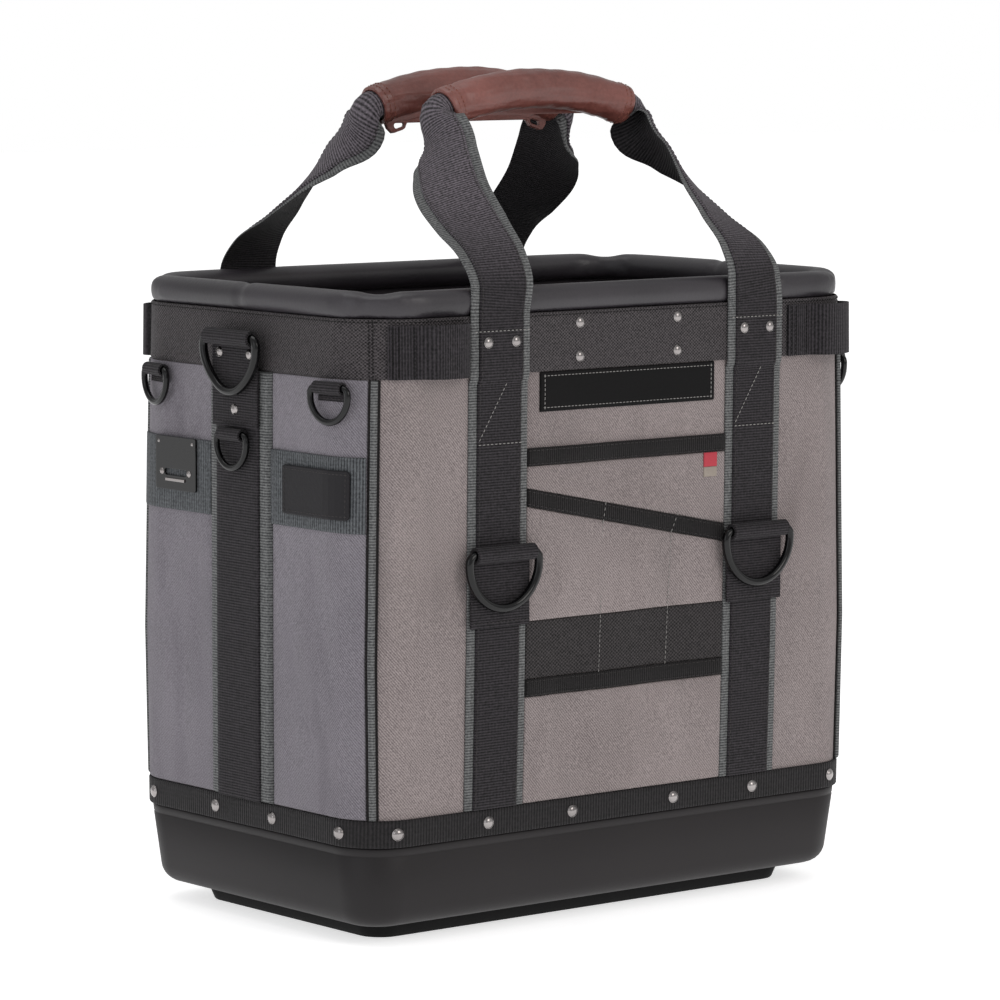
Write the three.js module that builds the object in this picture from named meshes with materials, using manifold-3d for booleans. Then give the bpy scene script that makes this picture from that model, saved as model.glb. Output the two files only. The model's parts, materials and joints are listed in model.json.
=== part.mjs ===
// Open top tool tote: a moulded tub, a boxy fabric body and two webbing handles with leather grips.
// Units are millimetres. +Z is up, +X runs along the front to the right, and the front faces -Y.
// The origin is the middle of the underside of the skid pad.
import * as THREE from "three";
import { mergeVertices } from "three/addons/utils/BufferGeometryUtils.js";
import Module from "manifold-3d";

const wasm = await Module();
wasm.setup();

// Running gap between pieces that lie against each other
const GAP = 0.3;

// Body: outer width, depth and corner, and the cloth it is sewn from
const BODY_WIDTH = 444;
const BODY_DEPTH = 280;
const CORNER_RADIUS = 36;
const CORNER_STEPS = 5;
const STATION_SPACE = 1;
const BODY_WALL = 3;
const BODY_HEIGHT = 352;
const CLOTH = 1.4;
const BINDING = 1.7;
const POCKET_BINDING = 2.3;

// Skid pad under the tub
const SKID_WIDTH = 372;
const SKID_DEPTH = 197;
const SKID_HEIGHT = 12;
const SKID_FLARE = 5;
const SKID_CORNER = 18;

// Moulded tub that closes the bottom, and the part of its wall that stands inside the cloth
const TUB_HEIGHT = 56.4;
const TUB_WALL = 4;
const TUB_DRAFT = 6;
const TUB_ROUND = 14;
const TUB_TUCK = 17;

// Webbing tape riveted round the foot of the cloth
const TAPE_HEIGHT = 18.6;
const TAPE_THICKNESS = 2;
const RIVET_DIAMETER = 8.5;
const RIVET_DOME = 2.2;
const RIVET_SHANK = 1;
const RIVET_SIDES = 7;
const RIVET_SECTION = [
  { out: 1, up: 0.2 },
  { out: 0.66, up: 0.82 },
  { out: 0, up: 1 },
];
const SMALL_RIVET_DIAMETER = 7.2;

// Woven band under the rim, and the padded roll on top of it
const BAND_HEIGHT = 39;
const RIM_HEIGHT = 19;
const RIM_THICKNESS = 20;
const RIM_PROUD = 3.5;

// Handle straps: two layers of webbing, and the leather grips that wrap them
const STRAP_WIDTH = 50.8;
const STRAP_TOP_WIDTH = 38;
const STRAP_LAYER = 1.4;
const STRAP_SPACING = 229.8;
const STRAP_STAND_OFF = 2.3;
const STRAP_STEP_FOOT = 6;
const STRAP_STEP_TOP = 1;
const CURL_ANGLE = 345;
const GRIP_LENGTH = 162;
const GRIP_SPACING = 78;
const GRIP_CROWN = 13;
const GRIP_RISE = 116;
const GRIP_LEATHER = 2;
const GRIP_SIDES = 10;
const GRIP_STEPS = 5;
const GRIP_LEAD = 9;
const MOUTH_NEAR = 0.4;
const MOUTH_FAR = 1.3;
const MOUTH_CURL = 0.92;
const FLAP_DEPTH = 9;
const FLAP_THICKNESS = 3.2;
const FLAP_SLOT = 11;
const FLAP_SLOT_HEIGHT = 4;
const FLAP_INSET = 12;
const FLAP_REACH = 0.94;
const FLAP_END_DEPTH = 0.8;
const BORE_REACH = 1.02;

// Rings of round wire and the webbing loops that hold them
const WIRE_SIDES = 8;
const RING_ARC_STEPS = 8;
const TUNNEL_CLEARANCE = 0.4;
const LARGE_RING = { width: 66, wire: 6, leg: 7, loop: 50.8, wall: 2.2, patch: 1.6 };
const SMALL_RING = { width: 38.5, wire: 4.6, leg: 6, loop: 25.4, wall: 1.6, patch: 1.3 };

// Where the rings hang: bars above the tape (strap), above the band's foot (end), below the end patch (tag)
// and below the band's foot (side), and how far the sewn patch of each reaches below its bar
const STRAP_RING_RISE = 174.4;
const STRAP_PATCH_DROP = 50;
const END_RING_RISE = 22;
const END_PATCH_DROP = 61;
const TAG_GAP = 0.7;
const TAG_PATCH_DROP = 8;
const SIDE_RING_DROP = 6;
const SIDE_PATCH_DROP = 9;
const NEAR_RING_INSET = 40;
const FAR_RING_INSET = 45;

// End faces: raised column up the middle, a panel each side of it, and a webbing strip across each
const COLUMN_WIDTH = 67;
const COLUMN_WEB_WIDTH = 50.8;
const COLUMN_RAISE = 4.6;
const COLUMN_WEB = 1.6;
const PANEL_EDGE_INSET = 10.5;
const PIPING_WIDTH = 6;
const PIPING_RAISE = 2.2;
const PIPING_SECTION = [
  { across: -1, raise: 0 },
  { across: -0.7, raise: 0.8 },
  { across: 0, raise: 1 },
  { across: 0.7, raise: 0.8 },
  { across: 1, raise: 0 },
];
const STRIP_HEIGHT = 50.8;
const STRIP_DROP = 77;
const PLATE_WIDTH = 47;
const PLATE_HEIGHT = 37;
const PLATE_THICKNESS = 1.5;
const PLATE_INSET = 67;
const PLATE_RISE = 7;
const PLATE_SLOT_WIDTH = 26;
const PLATE_SLOT_HEIGHT = 4.5;
const PATCH_WIDTH = 65;
const PATCH_HEIGHT = 33;
const PATCH_THICKNESS = 2.4;
const PATCH_INSET = 57;

// Loops of webbing beside the handle straps, sewn flat at one end and standing off at the other
const SIDE_LOOP_HEIGHT = 36;
const SIDE_LOOP_LENGTH = 59;
const SIDE_LOOP_FLAT = 20;
const SIDE_LOOP_STAND = 10;
const SIDE_LOOP_WEB = 1.7;
const SIDE_LOOP_CORNER_INSET = 19;
const SIDE_LOOP_STRAP_SPACE = 5.7;
const SIDE_LOOP_DROP = 3;

// Bends of a side loop, in thicknesses of its webbing: the rise off the wall and the turn back to it
const SIDE_LOOP_BEND = { rise: 3, riseInside: 3.6, turn: 2, turnInside: 2.4 };

// Pockets between the straps of the front: heights of their edges above the tape
const POCKET_BINDING_HEIGHT = 12.3;
const UPPER_POCKET_TOP = 243;
const SLANT_POCKET_LEFT = 216;
const SLANT_POCKET_RIGHT = 180;
const MESH_TOP = 125;
const MESH_HEIGHT = 39.5;
const LABEL_WIDTH = 157;
const LABEL_HEIGHT = 27;
const LABEL_THICKNESS = 1.6;
const TAB_WIDTH = 12;
const TAB_HEIGHT = 17;
const TAB_THICKNESS = 0.9;
const TAB_AT = 75;

// Places along the sides that follow from the sizes above
const PANEL_EDGE_AT = BODY_DEPTH / 2 - PANEL_EDGE_INSET;
const NEAR_RING_AT = BODY_DEPTH / 2 - NEAR_RING_INSET;
const FAR_RING_AT = BODY_DEPTH / 2 - FAR_RING_INSET;
const PLATE_AT = BODY_DEPTH / 2 - PLATE_INSET;
const PATCH_AT = BODY_DEPTH / 2 - PATCH_INSET;
const SIDE_LOOP_LEFT_AT = SIDE_LOOP_CORNER_INSET - BODY_WIDTH / 2;
const SIDE_LOOP_RIGHT_AT = STRAP_SPACING / 2 + STRAP_WIDTH / 2 + SIDE_LOOP_STRAP_SPACE;

// Heights that follow from the sizes above
const TUB_FLOOR_Z = SKID_HEIGHT + GAP;
const TUB_LIP_Z = TUB_FLOOR_Z + TUB_HEIGHT;
const CLOTH_FOOT_Z = TUB_LIP_Z + GAP;
const TAPE_TOP_Z = CLOTH_FOOT_Z + TAPE_HEIGHT;
const RIM_SEAM_Z = CLOTH_FOOT_Z + BODY_HEIGHT;
const BAND_FOOT_Z = RIM_SEAM_Z - BAND_HEIGHT;
const RIM_TOP_Z = RIM_SEAM_Z + GAP + RIM_HEIGHT;
const STRIP_MIDDLE_Z = BAND_FOOT_Z - STRIP_DROP;
const STRAP_RING_Z = TAPE_TOP_Z + STRAP_RING_RISE;
const END_RING_Z = BAND_FOOT_Z + END_RING_RISE;
const TAG_RING_Z = END_RING_Z - END_PATCH_DROP - TAG_GAP - barOffset(SMALL_RING);
const SIDE_RING_Z = BAND_FOOT_Z - SIDE_RING_DROP;

// Body sections as shares: rise of the body's height, wide of its width, deep of its depth, round of its corner
const BODY_SECTIONS = [
  { rise: 0.0, wide: 0.998, deep: 0.966, round: 1.0 },
  { rise: 0.35, wide: 1.0, deep: 0.986, round: 1.03 },
  { rise: 0.85, wide: 1.0, deep: 1.0, round: 1.33 },
  { rise: 1.0, wide: 0.996, deep: 1.0, round: 1.36 },
];

// Rim roll: its section as shares of half its thickness (out) and half its height (up)
const RIM_SECTION = [
  { out: 0.55, up: -1.0 },
  { out: 0.92, up: -0.72 },
  { out: 1.0, up: -0.05 },
  { out: 0.82, up: 0.62 },
  { out: 0.32, up: 1.0 },
  { out: -0.35, up: 0.96 },
  { out: -0.85, up: 0.58 },
  { out: -1.0, up: -0.1 },
  { out: -0.72, up: -0.82 },
  { out: -0.4, up: -1.0 },
];

// Dents of the rim roll: out is lost under a strap, up and out at a pinch, as shares of its half sizes
const STRAP_DENT = 0.34;
const PINCH = 0.12;

// Stations of the rim roll beside each strap, as shares of its half width, and about the crease of an end
const DENT_STATIONS = [-1.35, -1.12, 1.12, 1.35];
const DENT_REACH = 1.2;
const CREASE_STATIONS = [-9, -4, 0, 4, 9];

// Free run of a handle strap from the rim to the grip: rise of the grip's rise, across and back as
// shares of the way from the strap to the grip, turn of a quarter turn, and curl of the full curl
const HANDLE_RUN = [
  { rise: 0.0, across: 0.06, back: 0.0, turn: 0.04, curl: 0.0 },
  { rise: 0.17, across: 0.1, back: 0.1, turn: 0.14, curl: 0.0 },
  { rise: 0.34, across: 0.2, back: 0.34, turn: 0.36, curl: 0.0 },
  { rise: 0.51, across: 0.3, back: 0.57, turn: 0.52, curl: 0.02 },
  { rise: 0.7, across: 0.62, back: 0.77, turn: 0.82, curl: 0.1 },
  { rise: 0.85, across: 0.96, back: 0.92, turn: 1.0, curl: 0.3 },
  { rise: 0.935, across: 1.0, back: 0.98, turn: 1.0, curl: 0.6 },
];

// Rivets: places along each side of the tape, the band and the straps
const TAPE_RIVETS_LONG = [-196, -120, -46, 46, 120, 196];
const TAPE_RIVETS_SHORT = [-106, -32.5, 32.5, 106];
const BAND_RIVETS_X = [-44, 44];
const BAND_RIVETS_UP = [9, 32];
const STRAP_RIVETS_X = [-12, 12];
const STRAP_RIVETS_DROP = 17;
const PATCH_RIVETS = [
  { across: -17, drop: 11 },
  { across: 17, drop: 11 },
  { across: 0, drop: 49 },
];

// Sides of the body, each seen from outside: turn about +Z from the front
const SIDES = {
  front: { turn: 0, long: true },
  right: { turn: 90, long: false },
  back: { turn: 180, long: true },
  left: { turn: 270, long: false },
};

// Materials
function paint(colour, roughness, metalness = 0) {
  return new THREE.MeshStandardMaterial({ color: colour, roughness, metalness });
}
const MATERIALS = {
  front_cloth: paint(0x8c827d, 0.9),
  end_cloth: paint(0x777274, 0.9),
  ballistic: paint(0x413e3e, 0.85),
  webbing: paint(0x3c3b3b, 0.85),
  grey_webbing: paint(0x5d6160, 0.85),
  lining: paint(0x2b2a2d, 0.7),
  tub_plastic: paint(0x39383a, 0.6),
  skid_rubber: paint(0x1d1c1e, 0.8),
  leather: paint(0x784b41, 0.5),
  black_metal: paint(0x17171a, 0.25, 0.8),
  tab_red: paint(0xb0404a, 0.8),
};

// Linear blend of two numbers
function mix(a, b, t) {
  return a + (b - a) * t;
}

// Half sizes and corner radius of the body at a height
function bodyAt(z) {
  const rise = THREE.MathUtils.clamp((z - CLOTH_FOOT_Z) / BODY_HEIGHT, 0, 1);
  let i = 0;
  while (i < BODY_SECTIONS.length - 2 && rise > BODY_SECTIONS[i + 1].rise) i += 1;
  const low = BODY_SECTIONS[i];
  const high = BODY_SECTIONS[i + 1];
  const t = (rise - low.rise) / (high.rise - low.rise);
  return {
    hx: (BODY_WIDTH / 2) * mix(low.wide, high.wide, t),
    hy: (BODY_DEPTH / 2) * mix(low.deep, high.deep, t),
    r: CORNER_RADIUS * mix(low.round, high.round, t),
  };
}

// Half length of a side's flat part
function flatHalf(side, size) {
  return (side.long ? size.hx : size.hy) - size.r;
}

// A point of a rounded rectangle with faceted corners, seen from one side: s runs left to right round
// the corner, out is off the wall
function rectPoint(side, s, out, size) {
  const flat = flatHalf(side, size);
  const reach = side.long ? size.hy : size.hx;
  const facet = Math.PI / (2 * CORNER_STEPS);
  const turns = Math.max(Math.abs(s) - flat, 0) / (size.r * facet);
  const whole = Math.min(Math.floor(turns + 1e-9), CORNER_STEPS - 1);
  const start = whole * facet;
  const end = start + facet;
  const share = turns - whole;
  const radius = size.r + out;
  const sideways = mix(radius * Math.sin(start), radius * Math.sin(end), turns > 0 ? share : 0);
  const ahead = mix(radius * Math.cos(start), radius * Math.cos(end), turns > 0 ? share : 0);
  const x = Math.sign(s) * (Math.min(Math.abs(s), flat) + sideways);
  const depth = reach - size.r + ahead;
  const turn = THREE.MathUtils.degToRad(side.turn);
  return new THREE.Vector2(
    x * Math.cos(turn) + depth * Math.sin(turn),
    x * Math.sin(turn) - depth * Math.cos(turn),
  );
}

// A point on the body's wall
function wallPoint(side, s, z, out) {
  const p = rectPoint(side, s, out, bodyAt(z));
  return new THREE.Vector3(p.x, p.y, z);
}

// Frame on the body's wall, square to the facet that it is on: its place, the way along and the way out
function wallFrame(side, s, z, out) {
  const size = bodyAt(z);
  const facet = Math.PI / (2 * CORNER_STEPS);
  const turns = (Math.abs(s) - flatHalf(side, size)) / (size.r * facet);
  const bend = turns > 0 ? Math.sign(s) * (Math.floor(turns) + 0.5) * facet : 0;
  const turn = THREE.MathUtils.degToRad(side.turn) + bend;
  const away = new THREE.Vector3(Math.sin(turn), -Math.cos(turn), 0);
  return {
    place: wallPoint(side, s, z, 0).addScaledVector(away, out),
    along: new THREE.Vector3(Math.cos(turn), Math.sin(turn), 0),
    out: away,
  };
}

// A place along a side: on the flat part it is a distance, and in the corner it keeps its share of the turn
function stationOf(side, s, size) {
  const past = Math.abs(s) - flatHalf(side, size);
  if (past < -1e-6) return { side, s };
  return { side, hand: Math.sign(s), share: (2 * past) / (size.r * Math.PI) };
}

// Distance along its side of a station on a section of the body
function placeOf(station, size) {
  if (station.share === undefined) return station.s;
  const turned = (station.share * size.r * Math.PI) / 2;
  return station.hand * (flatHalf(station.side, size) + turned);
}

// Stations round a whole rounded rectangle, with any extra ones asked for along each side
function roundStations(size, extra = {}) {
  return Object.entries(SIDES).flatMap(([name, side]) => {
    const inner = (extra[name] || []).filter((s) => Math.abs(s) < flatHalf(side, size) - 1);
    return [
      { side, hand: -1, share: 0 },
      ...inner.map((s) => ({ side, s })),
      ...steps(0, 1, CORNER_STEPS).slice(0, -1).map((share) => ({ side, hand: 1, share })),
    ];
  });
}

// Signed volume of an indexed mesh
function volumeOf(points, faces) {
  let sum = 0;
  for (const [a, b, c] of faces) {
    sum += points[a].dot(new THREE.Vector3().crossVectors(points[b], points[c]));
  }
  return sum / 6;
}

// Indexed geometry from points and triangles, turned so that its faces point out
function solidMesh(points, faces) {
  const outward = volumeOf(points, faces) > 0 ? faces : faces.map(([a, b, c]) => [a, c, b]);
  const geometry = new THREE.BufferGeometry();
  geometry.setAttribute(
    "position",
    new THREE.Float32BufferAttribute(points.flatMap((p) => p.toArray()), 3),
  );
  geometry.setIndex(outward.flat());
  return geometry;
}

// Skin over rings of the same number of points, closed on itself or with both ends filled by cap triangles
function skin(rings, closed, caps = []) {
  const count = rings[0].length;
  const faces = [];
  const last = closed ? rings.length : rings.length - 1;
  for (let i = 0; i < last; i += 1) {
    const here = i * count;
    const next = ((i + 1) % rings.length) * count;
    for (let j = 0; j < count; j += 1) {
      const k = (j + 1) % count;
      faces.push([here + j, next + j, next + k], [here + j, next + k, here + k]);
    }
  }
  const top = (rings.length - 1) * count;
  for (const [a, b, c] of caps) {
    faces.push([a, b, c], [top + a, top + c, top + b]);
  }
  return solidMesh(rings.flat(), faces);
}

// Triangles that fill an outline, each turned the same way as the outline
function fillOf(outline) {
  const flat = outline.map(([a, b]) => new THREE.Vector2(a, b));
  const clockwise = THREE.ShapeUtils.isClockWise(flat);
  return THREE.ShapeUtils.triangulateShape(flat, []).map(([a, b, c]) => {
    const same = THREE.ShapeUtils.isClockWise([flat[a], flat[b], flat[c]]) === clockwise;
    return same ? [a, b, c] : [a, c, b];
  });
}

// Triangles that fill an outline of two rows, which goes along one and comes back along the other
function rungsOf(count) {
  const rungs = Array.from({ length: count - 1 }, (_, i) => [i, 2 * count - 1 - i]);
  return rungs.flatMap(([a, b]) => [[a, a + 1, b - 1], [a, b - 1, b]]);
}

// Ring body: a profile of { out, z } carried round the whole body
function wallRing(profile) {
  const rings = roundStations(bodyAt(CLOTH_FOOT_Z)).map((station) => {
    return profile.map(({ out, z }) => {
      return wallPoint(station.side, placeOf(station, bodyAt(z)), z, out);
    });
  });
  return skin(rings, true);
}

// Tray or plate: outlines of rounded rectangles, rows of { hx, hy, r, z } in order, with both ends closed
function trayOf(rows) {
  const rings = rows.map(({ hx, hy, r, z }) => {
    const size = { hx, hy, r };
    return roundStations(size).map((station) => {
      const p = rectPoint(station.side, placeOf(station, size), 0, size);
      return new THREE.Vector3(p.x, p.y, z);
    });
  });
  return skin(rings, false, fillOf(rings[0].map((p) => [p.x, p.y])));
}

// Even steps from one number to another, both included
function steps(from, to, count) {
  return Array.from({ length: count + 1 }, (_, i) => mix(from, to, i / count));
}

// Heights between two edges where the body's wall may bend
function bendHeights(low, high) {
  const bends = BODY_SECTIONS.map(({ rise }) => CLOTH_FOOT_Z + rise * BODY_HEIGHT);
  return [low, ...bends.filter((z) => z > low + 1 && z < high - 1), high];
}

// Stations along a side between two places: the ends, and each corner facet's edge that lies between them
function bendStations(side, from, to, size, extra = []) {
  const shares = steps(0, 1, CORNER_STEPS);
  const edges = [
    ...shares.map((share) => ({ side, hand: -1, share })),
    ...shares.map((share) => ({ side, hand: 1, share })),
    ...extra.map((s) => stationOf(side, s, size)),
  ];
  const inside = edges
    .map((station) => ({ station, s: placeOf(station, size) }))
    .filter(({ s }) => s > from + STATION_SPACE && s < to - STATION_SPACE)
    .sort((a, b) => a.s - b.s)
    .map(({ station }) => station);
  return [stationOf(side, from, size), ...inside, stationOf(side, to, size)];
}

// Slab on a wall: between two places and two edges, each edge a height or a function of the place.
// The places are measured at the datum height, and keep their share of the corner above and below it
function slab(side, from, to, low, high, inner, outer, datum, extra) {
  const edge = (value, s) => (typeof value === "function" ? value(s) : value);
  const middle = (edge(low, from) + edge(high, from)) / 2;
  const heights = bendHeights(edge(low, from), edge(high, from));
  const shares = heights.map((z) => (z - heights[0]) / (heights.at(-1) - heights[0]));
  const outline = [
    ...shares.map((t) => [0, t]),
    ...shares.toReversed().map((t) => [1, t]),
  ];
  const measured = bodyAt(datum ?? middle);
  const rings = bendStations(side, from, to, measured, extra).map((station) => {
    const s = placeOf(station, measured);
    return outline.map(([face, t]) => {
      const z = mix(edge(low, s), edge(high, s), t);
      return wallPoint(side, placeOf(station, bodyAt(z)), z, face ? edge(outer, s) : inner);
    });
  });
  return skin(rings, false, rungsOf(shares.length));
}

// Geometry as a solid for joins and cuts: only places, shared points merged, no triangle of no area
function toSolid(geometry) {
  const bare = new THREE.BufferGeometry();
  bare.setAttribute("position", geometry.getAttribute("position"));
  if (geometry.index) bare.setIndex(geometry.index);
  const merged = mergeVertices(bare, 1e-4);
  const index = Array.from(merged.index.array);
  const kept = [];
  for (let i = 0; i < index.length; i += 3) {
    const [a, b, c] = index.slice(i, i + 3);
    if (a !== b && b !== c && c !== a) kept.push(a, b, c);
  }
  return new wasm.Manifold(
    new wasm.Mesh({
      numProp: 3,
      vertProperties: Float32Array.from(merged.getAttribute("position").array),
      triVerts: Uint32Array.from(kept),
    }),
  );
}

// Solid back to geometry
function toGeometry(solid) {
  const mesh = solid.getMesh();
  const geometry = new THREE.BufferGeometry();
  geometry.setAttribute("position", new THREE.BufferAttribute(mesh.vertProperties, 3));
  geometry.setIndex(new THREE.BufferAttribute(mesh.triVerts, 1));
  return geometry;
}

// Pieces joined to a first one
function join(first, others) {
  return toGeometry(others.reduce((sum, other) => sum.add(toSolid(other)), toSolid(first)));
}

// Pieces cut out of a first one
function cut(first, others) {
  return toGeometry(others.reduce((sum, other) => sum.subtract(toSolid(other)), toSolid(first)));
}

// Matrix that puts a piece drawn in (along, up, out) on a frame
function frameMatrix({ place, along, out }) {
  const up = new THREE.Vector3().crossVectors(out, along);
  return new THREE.Matrix4().makeBasis(along, up, out).setPosition(place);
}

// Dome rivet, sunk a little in what it holds, on a frame
function rivet(frame, diameter = RIVET_DIAMETER) {
  const r = diameter / 2;
  const profile = [
    new THREE.Vector2(0, -RIVET_SHANK),
    new THREE.Vector2(r, -RIVET_SHANK),
    ...RIVET_SECTION.map(({ out, up }) => new THREE.Vector2(out * r, up * RIVET_DOME)),
  ];
  const dome = new THREE.LatheGeometry(profile, RIVET_SIDES);
  dome.rotateX(Math.PI / 2);
  dome.applyMatrix4(frameMatrix(frame));
  return dome;
}

// Rivets along every side of the tape
function tapeRivets() {
  const z = CLOTH_FOOT_Z + TAPE_HEIGHT / 2;
  return Object.values(SIDES).flatMap((side) => {
    const places = side.long ? TAPE_RIVETS_LONG : TAPE_RIVETS_SHORT;
    return places.map((s) => rivet(wallFrame(side, s, z, GAP + TAPE_THICKNESS)));
  });
}

// Rivets through the band on the front and the back
function bandRivets() {
  return [SIDES.front, SIDES.back].flatMap((side) => {
    return BAND_RIVETS_X.flatMap((s) => {
      return BAND_RIVETS_UP.map((up) => rivet(wallFrame(side, s, BAND_FOOT_Z + up, GAP + CLOTH)));
    });
  });
}

// Skid pad: a plate that flares a little towards the tub
function skidPad() {
  const foot = { hx: SKID_WIDTH / 2, hy: SKID_DEPTH / 2, r: SKID_CORNER, z: 0 };
  const top = {
    hx: foot.hx + SKID_FLARE,
    hy: foot.hy + SKID_FLARE,
    r: foot.r + SKID_FLARE,
    z: SKID_HEIGHT,
  };
  return trayOf([foot, top]);
}

// Tub: a tray with a drafted wall, a rounded foot, and a thinner wall that stands inside the cloth
function baseTub() {
  const body = bodyAt(CLOTH_FOOT_Z);
  const row = (inset, z) => ({
    hx: body.hx - inset,
    hy: body.hy - inset,
    r: Math.max(body.r - inset, 4),
    z,
  });
  const tuck = BODY_WALL + GAP;
  const inner = tuck + TUB_WALL;
  return trayOf([
    row(TUB_DRAFT + TUB_ROUND, TUB_FLOOR_Z),
    row(TUB_DRAFT + 0.35 * TUB_ROUND, TUB_FLOOR_Z + 0.25 * TUB_ROUND),
    row(TUB_DRAFT, TUB_FLOOR_Z + TUB_ROUND),
    row(0, TUB_LIP_Z),
    row(tuck, TUB_LIP_Z),
    row(tuck, TUB_LIP_Z + TUB_TUCK),
    row(inner, TUB_LIP_Z + TUB_TUCK),
    row(TUB_DRAFT + inner, TUB_FLOOR_Z + TUB_WALL + 0.5 * TUB_ROUND),
    row(TUB_DRAFT + inner + 0.5 * TUB_ROUND, TUB_FLOOR_Z + TUB_WALL),
  ]);
}

// Body shell: the cloth wall of the bag, open at the top and the bottom
function bodyShell() {
  const heights = bendHeights(CLOTH_FOOT_Z, RIM_SEAM_Z);
  return wallRing([
    ...heights.map((z) => ({ out: 0, z })),
    ...heights.toReversed().map((z) => ({ out: -BODY_WALL, z })),
  ]);
}

// Ring of cloth or webbing round the outside of the body
function outerBand(low, high, thickness) {
  const heights = bendHeights(low, high);
  return wallRing([
    ...heights.map((z) => ({ out: GAP + thickness, z })),
    ...heights.toReversed().map((z) => ({ out: GAP, z })),
  ]);
}

// Rim roll: dented where the straps press on it, pinched at its corners and creased in the middle of the ends
function rimRoll() {
  const size = bodyAt(RIM_SEAM_Z);
  const strap = STRAP_SPACING / 2;
  const half = STRAP_WIDTH / 2;
  const beside = DENT_STATIONS.map((share) => share * half);
  const dents = [-strap, strap].flatMap((x) => beside.map((d) => x + d));
  const extra = { front: [...dents, 0].sort(ascending), left: CREASE_STATIONS };
  extra.back = extra.front;
  extra.right = extra.left;
  const rings = roundStations(size, extra).map((station) => {
    const { side, share } = station;
    const s = placeOf(station, size);
    const pressed = side.long && Math.abs(Math.abs(s) - strap) < DENT_REACH * half;
    const pinched = share === 2 / CORNER_STEPS || (!side.long && s === 0);
    const middle = RIM_PROUD - RIM_THICKNESS / 2;
    return RIM_SECTION.map(({ out, up }) => {
      const thin = (pressed && out > 0 ? STRAP_DENT : 0) + (pinched ? PINCH : 0);
      const low = pinched && up > 0 ? 2 * PINCH : 0;
      const z = RIM_SEAM_Z + GAP + (RIM_HEIGHT / 2) * (1 + up * (1 - low));
      const p = rectPoint(side, s, middle + (RIM_THICKNESS / 2) * out * (1 - thin), size);
      return new THREE.Vector3(p.x, p.y, z);
    });
  });
  return skin(rings, true);
}

function ascending(a, b) {
  return a - b;
}

// Strap section across its width: points of { u, h } before it curls, base layer below and top layer on it
function strapSection() {
  const wide = STRAP_WIDTH / 2;
  const narrow = STRAP_TOP_WIDTH / 2;
  const top = 2 * STRAP_LAYER;
  return [
    ...steps(wide, -wide, 6).map((u) => ({ u, h: 0 })),
    { u: -wide, h: STRAP_LAYER },
    { u: -narrow, h: STRAP_LAYER },
    ...steps(-narrow, narrow, 4).map((u) => ({ u, h: top })),
    { u: narrow, h: STRAP_LAYER },
    { u: wide, h: STRAP_LAYER },
  ];
}

// Radius of the strap's inner face when it is fully curled
function curlRadius() {
  return STRAP_WIDTH / THREE.MathUtils.degToRad(CURL_ANGLE);
}

// Strap section at a curl from 0, flat, to 1, closed round the middle of the grip
function curledSection(curl) {
  const full = curlRadius();
  return strapSection().map(({ u, h }) => {
    if (curl < 1e-3) return [u, h];
    const r = full / curl;
    const angle = u / r;
    return [(r + h) * Math.sin(angle), (r + h) * Math.cos(angle) - r + curl * full];
  });
}

// Middle line of a grip: an arc through its crown, from one mouth (-1) to the other (1)
function gripPoint(t, y) {
  const half = GRIP_LENGTH / 2;
  const radius = (half * half + GRIP_CROWN * GRIP_CROWN) / (2 * GRIP_CROWN);
  const angle = t * Math.asin(half / radius);
  const mouth = RIM_TOP_Z + GRIP_RISE;
  return {
    place: new THREE.Vector3(
      radius * Math.sin(angle),
      y,
      mouth + GRIP_CROWN - radius * (1 - Math.cos(angle)),
    ),
    along: new THREE.Vector3(Math.cos(angle), 0, -Math.sin(angle)),
  };
}

// Stations of one leg of the front strap from the tape to the grip; hand is -1 on the left
function legStations(hand) {
  const x = (hand * STRAP_SPACING) / 2;
  const outwards = (z, off) => bodyAt(z).hy + off;
  const lie = [
    { z: TAPE_TOP_Z + GAP, off: GAP },
    ...BODY_SECTIONS.slice(1, 2).map(({ rise }) => ({ z: CLOTH_FOOT_Z + rise * BODY_HEIGHT, off: GAP })),
    { z: BAND_FOOT_Z - STRAP_STEP_FOOT, off: GAP },
    { z: BAND_FOOT_Z - STRAP_STEP_TOP, off: STRAP_STAND_OFF },
    { z: RIM_SEAM_Z, off: STRAP_STAND_OFF },
  ].map(({ z, off }) => ({
    place: new THREE.Vector3(x, -outwards(z, off), z),
    across: new THREE.Vector3(hand, 0, 0),
    curl: 0,
  }));
  const rimY = -outwards(RIM_SEAM_Z, STRAP_STAND_OFF);
  const gripX = hand * (GRIP_LENGTH / 2 + GRIP_LEAD);
  const gripY = -GRIP_SPACING / 2;
  const free = HANDLE_RUN.map(({ rise, across, back, turn, curl }) => {
    const angle = (turn * Math.PI) / 2;
    return {
      place: new THREE.Vector3(
        mix(x, gripX, across),
        mix(rimY, gripY, back),
        RIM_TOP_Z + rise * GRIP_RISE,
      ),
      across: new THREE.Vector3(hand * Math.cos(angle), Math.sin(angle), 0),
      curl,
    };
  });
  return [...lie, ...free];
}

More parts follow.
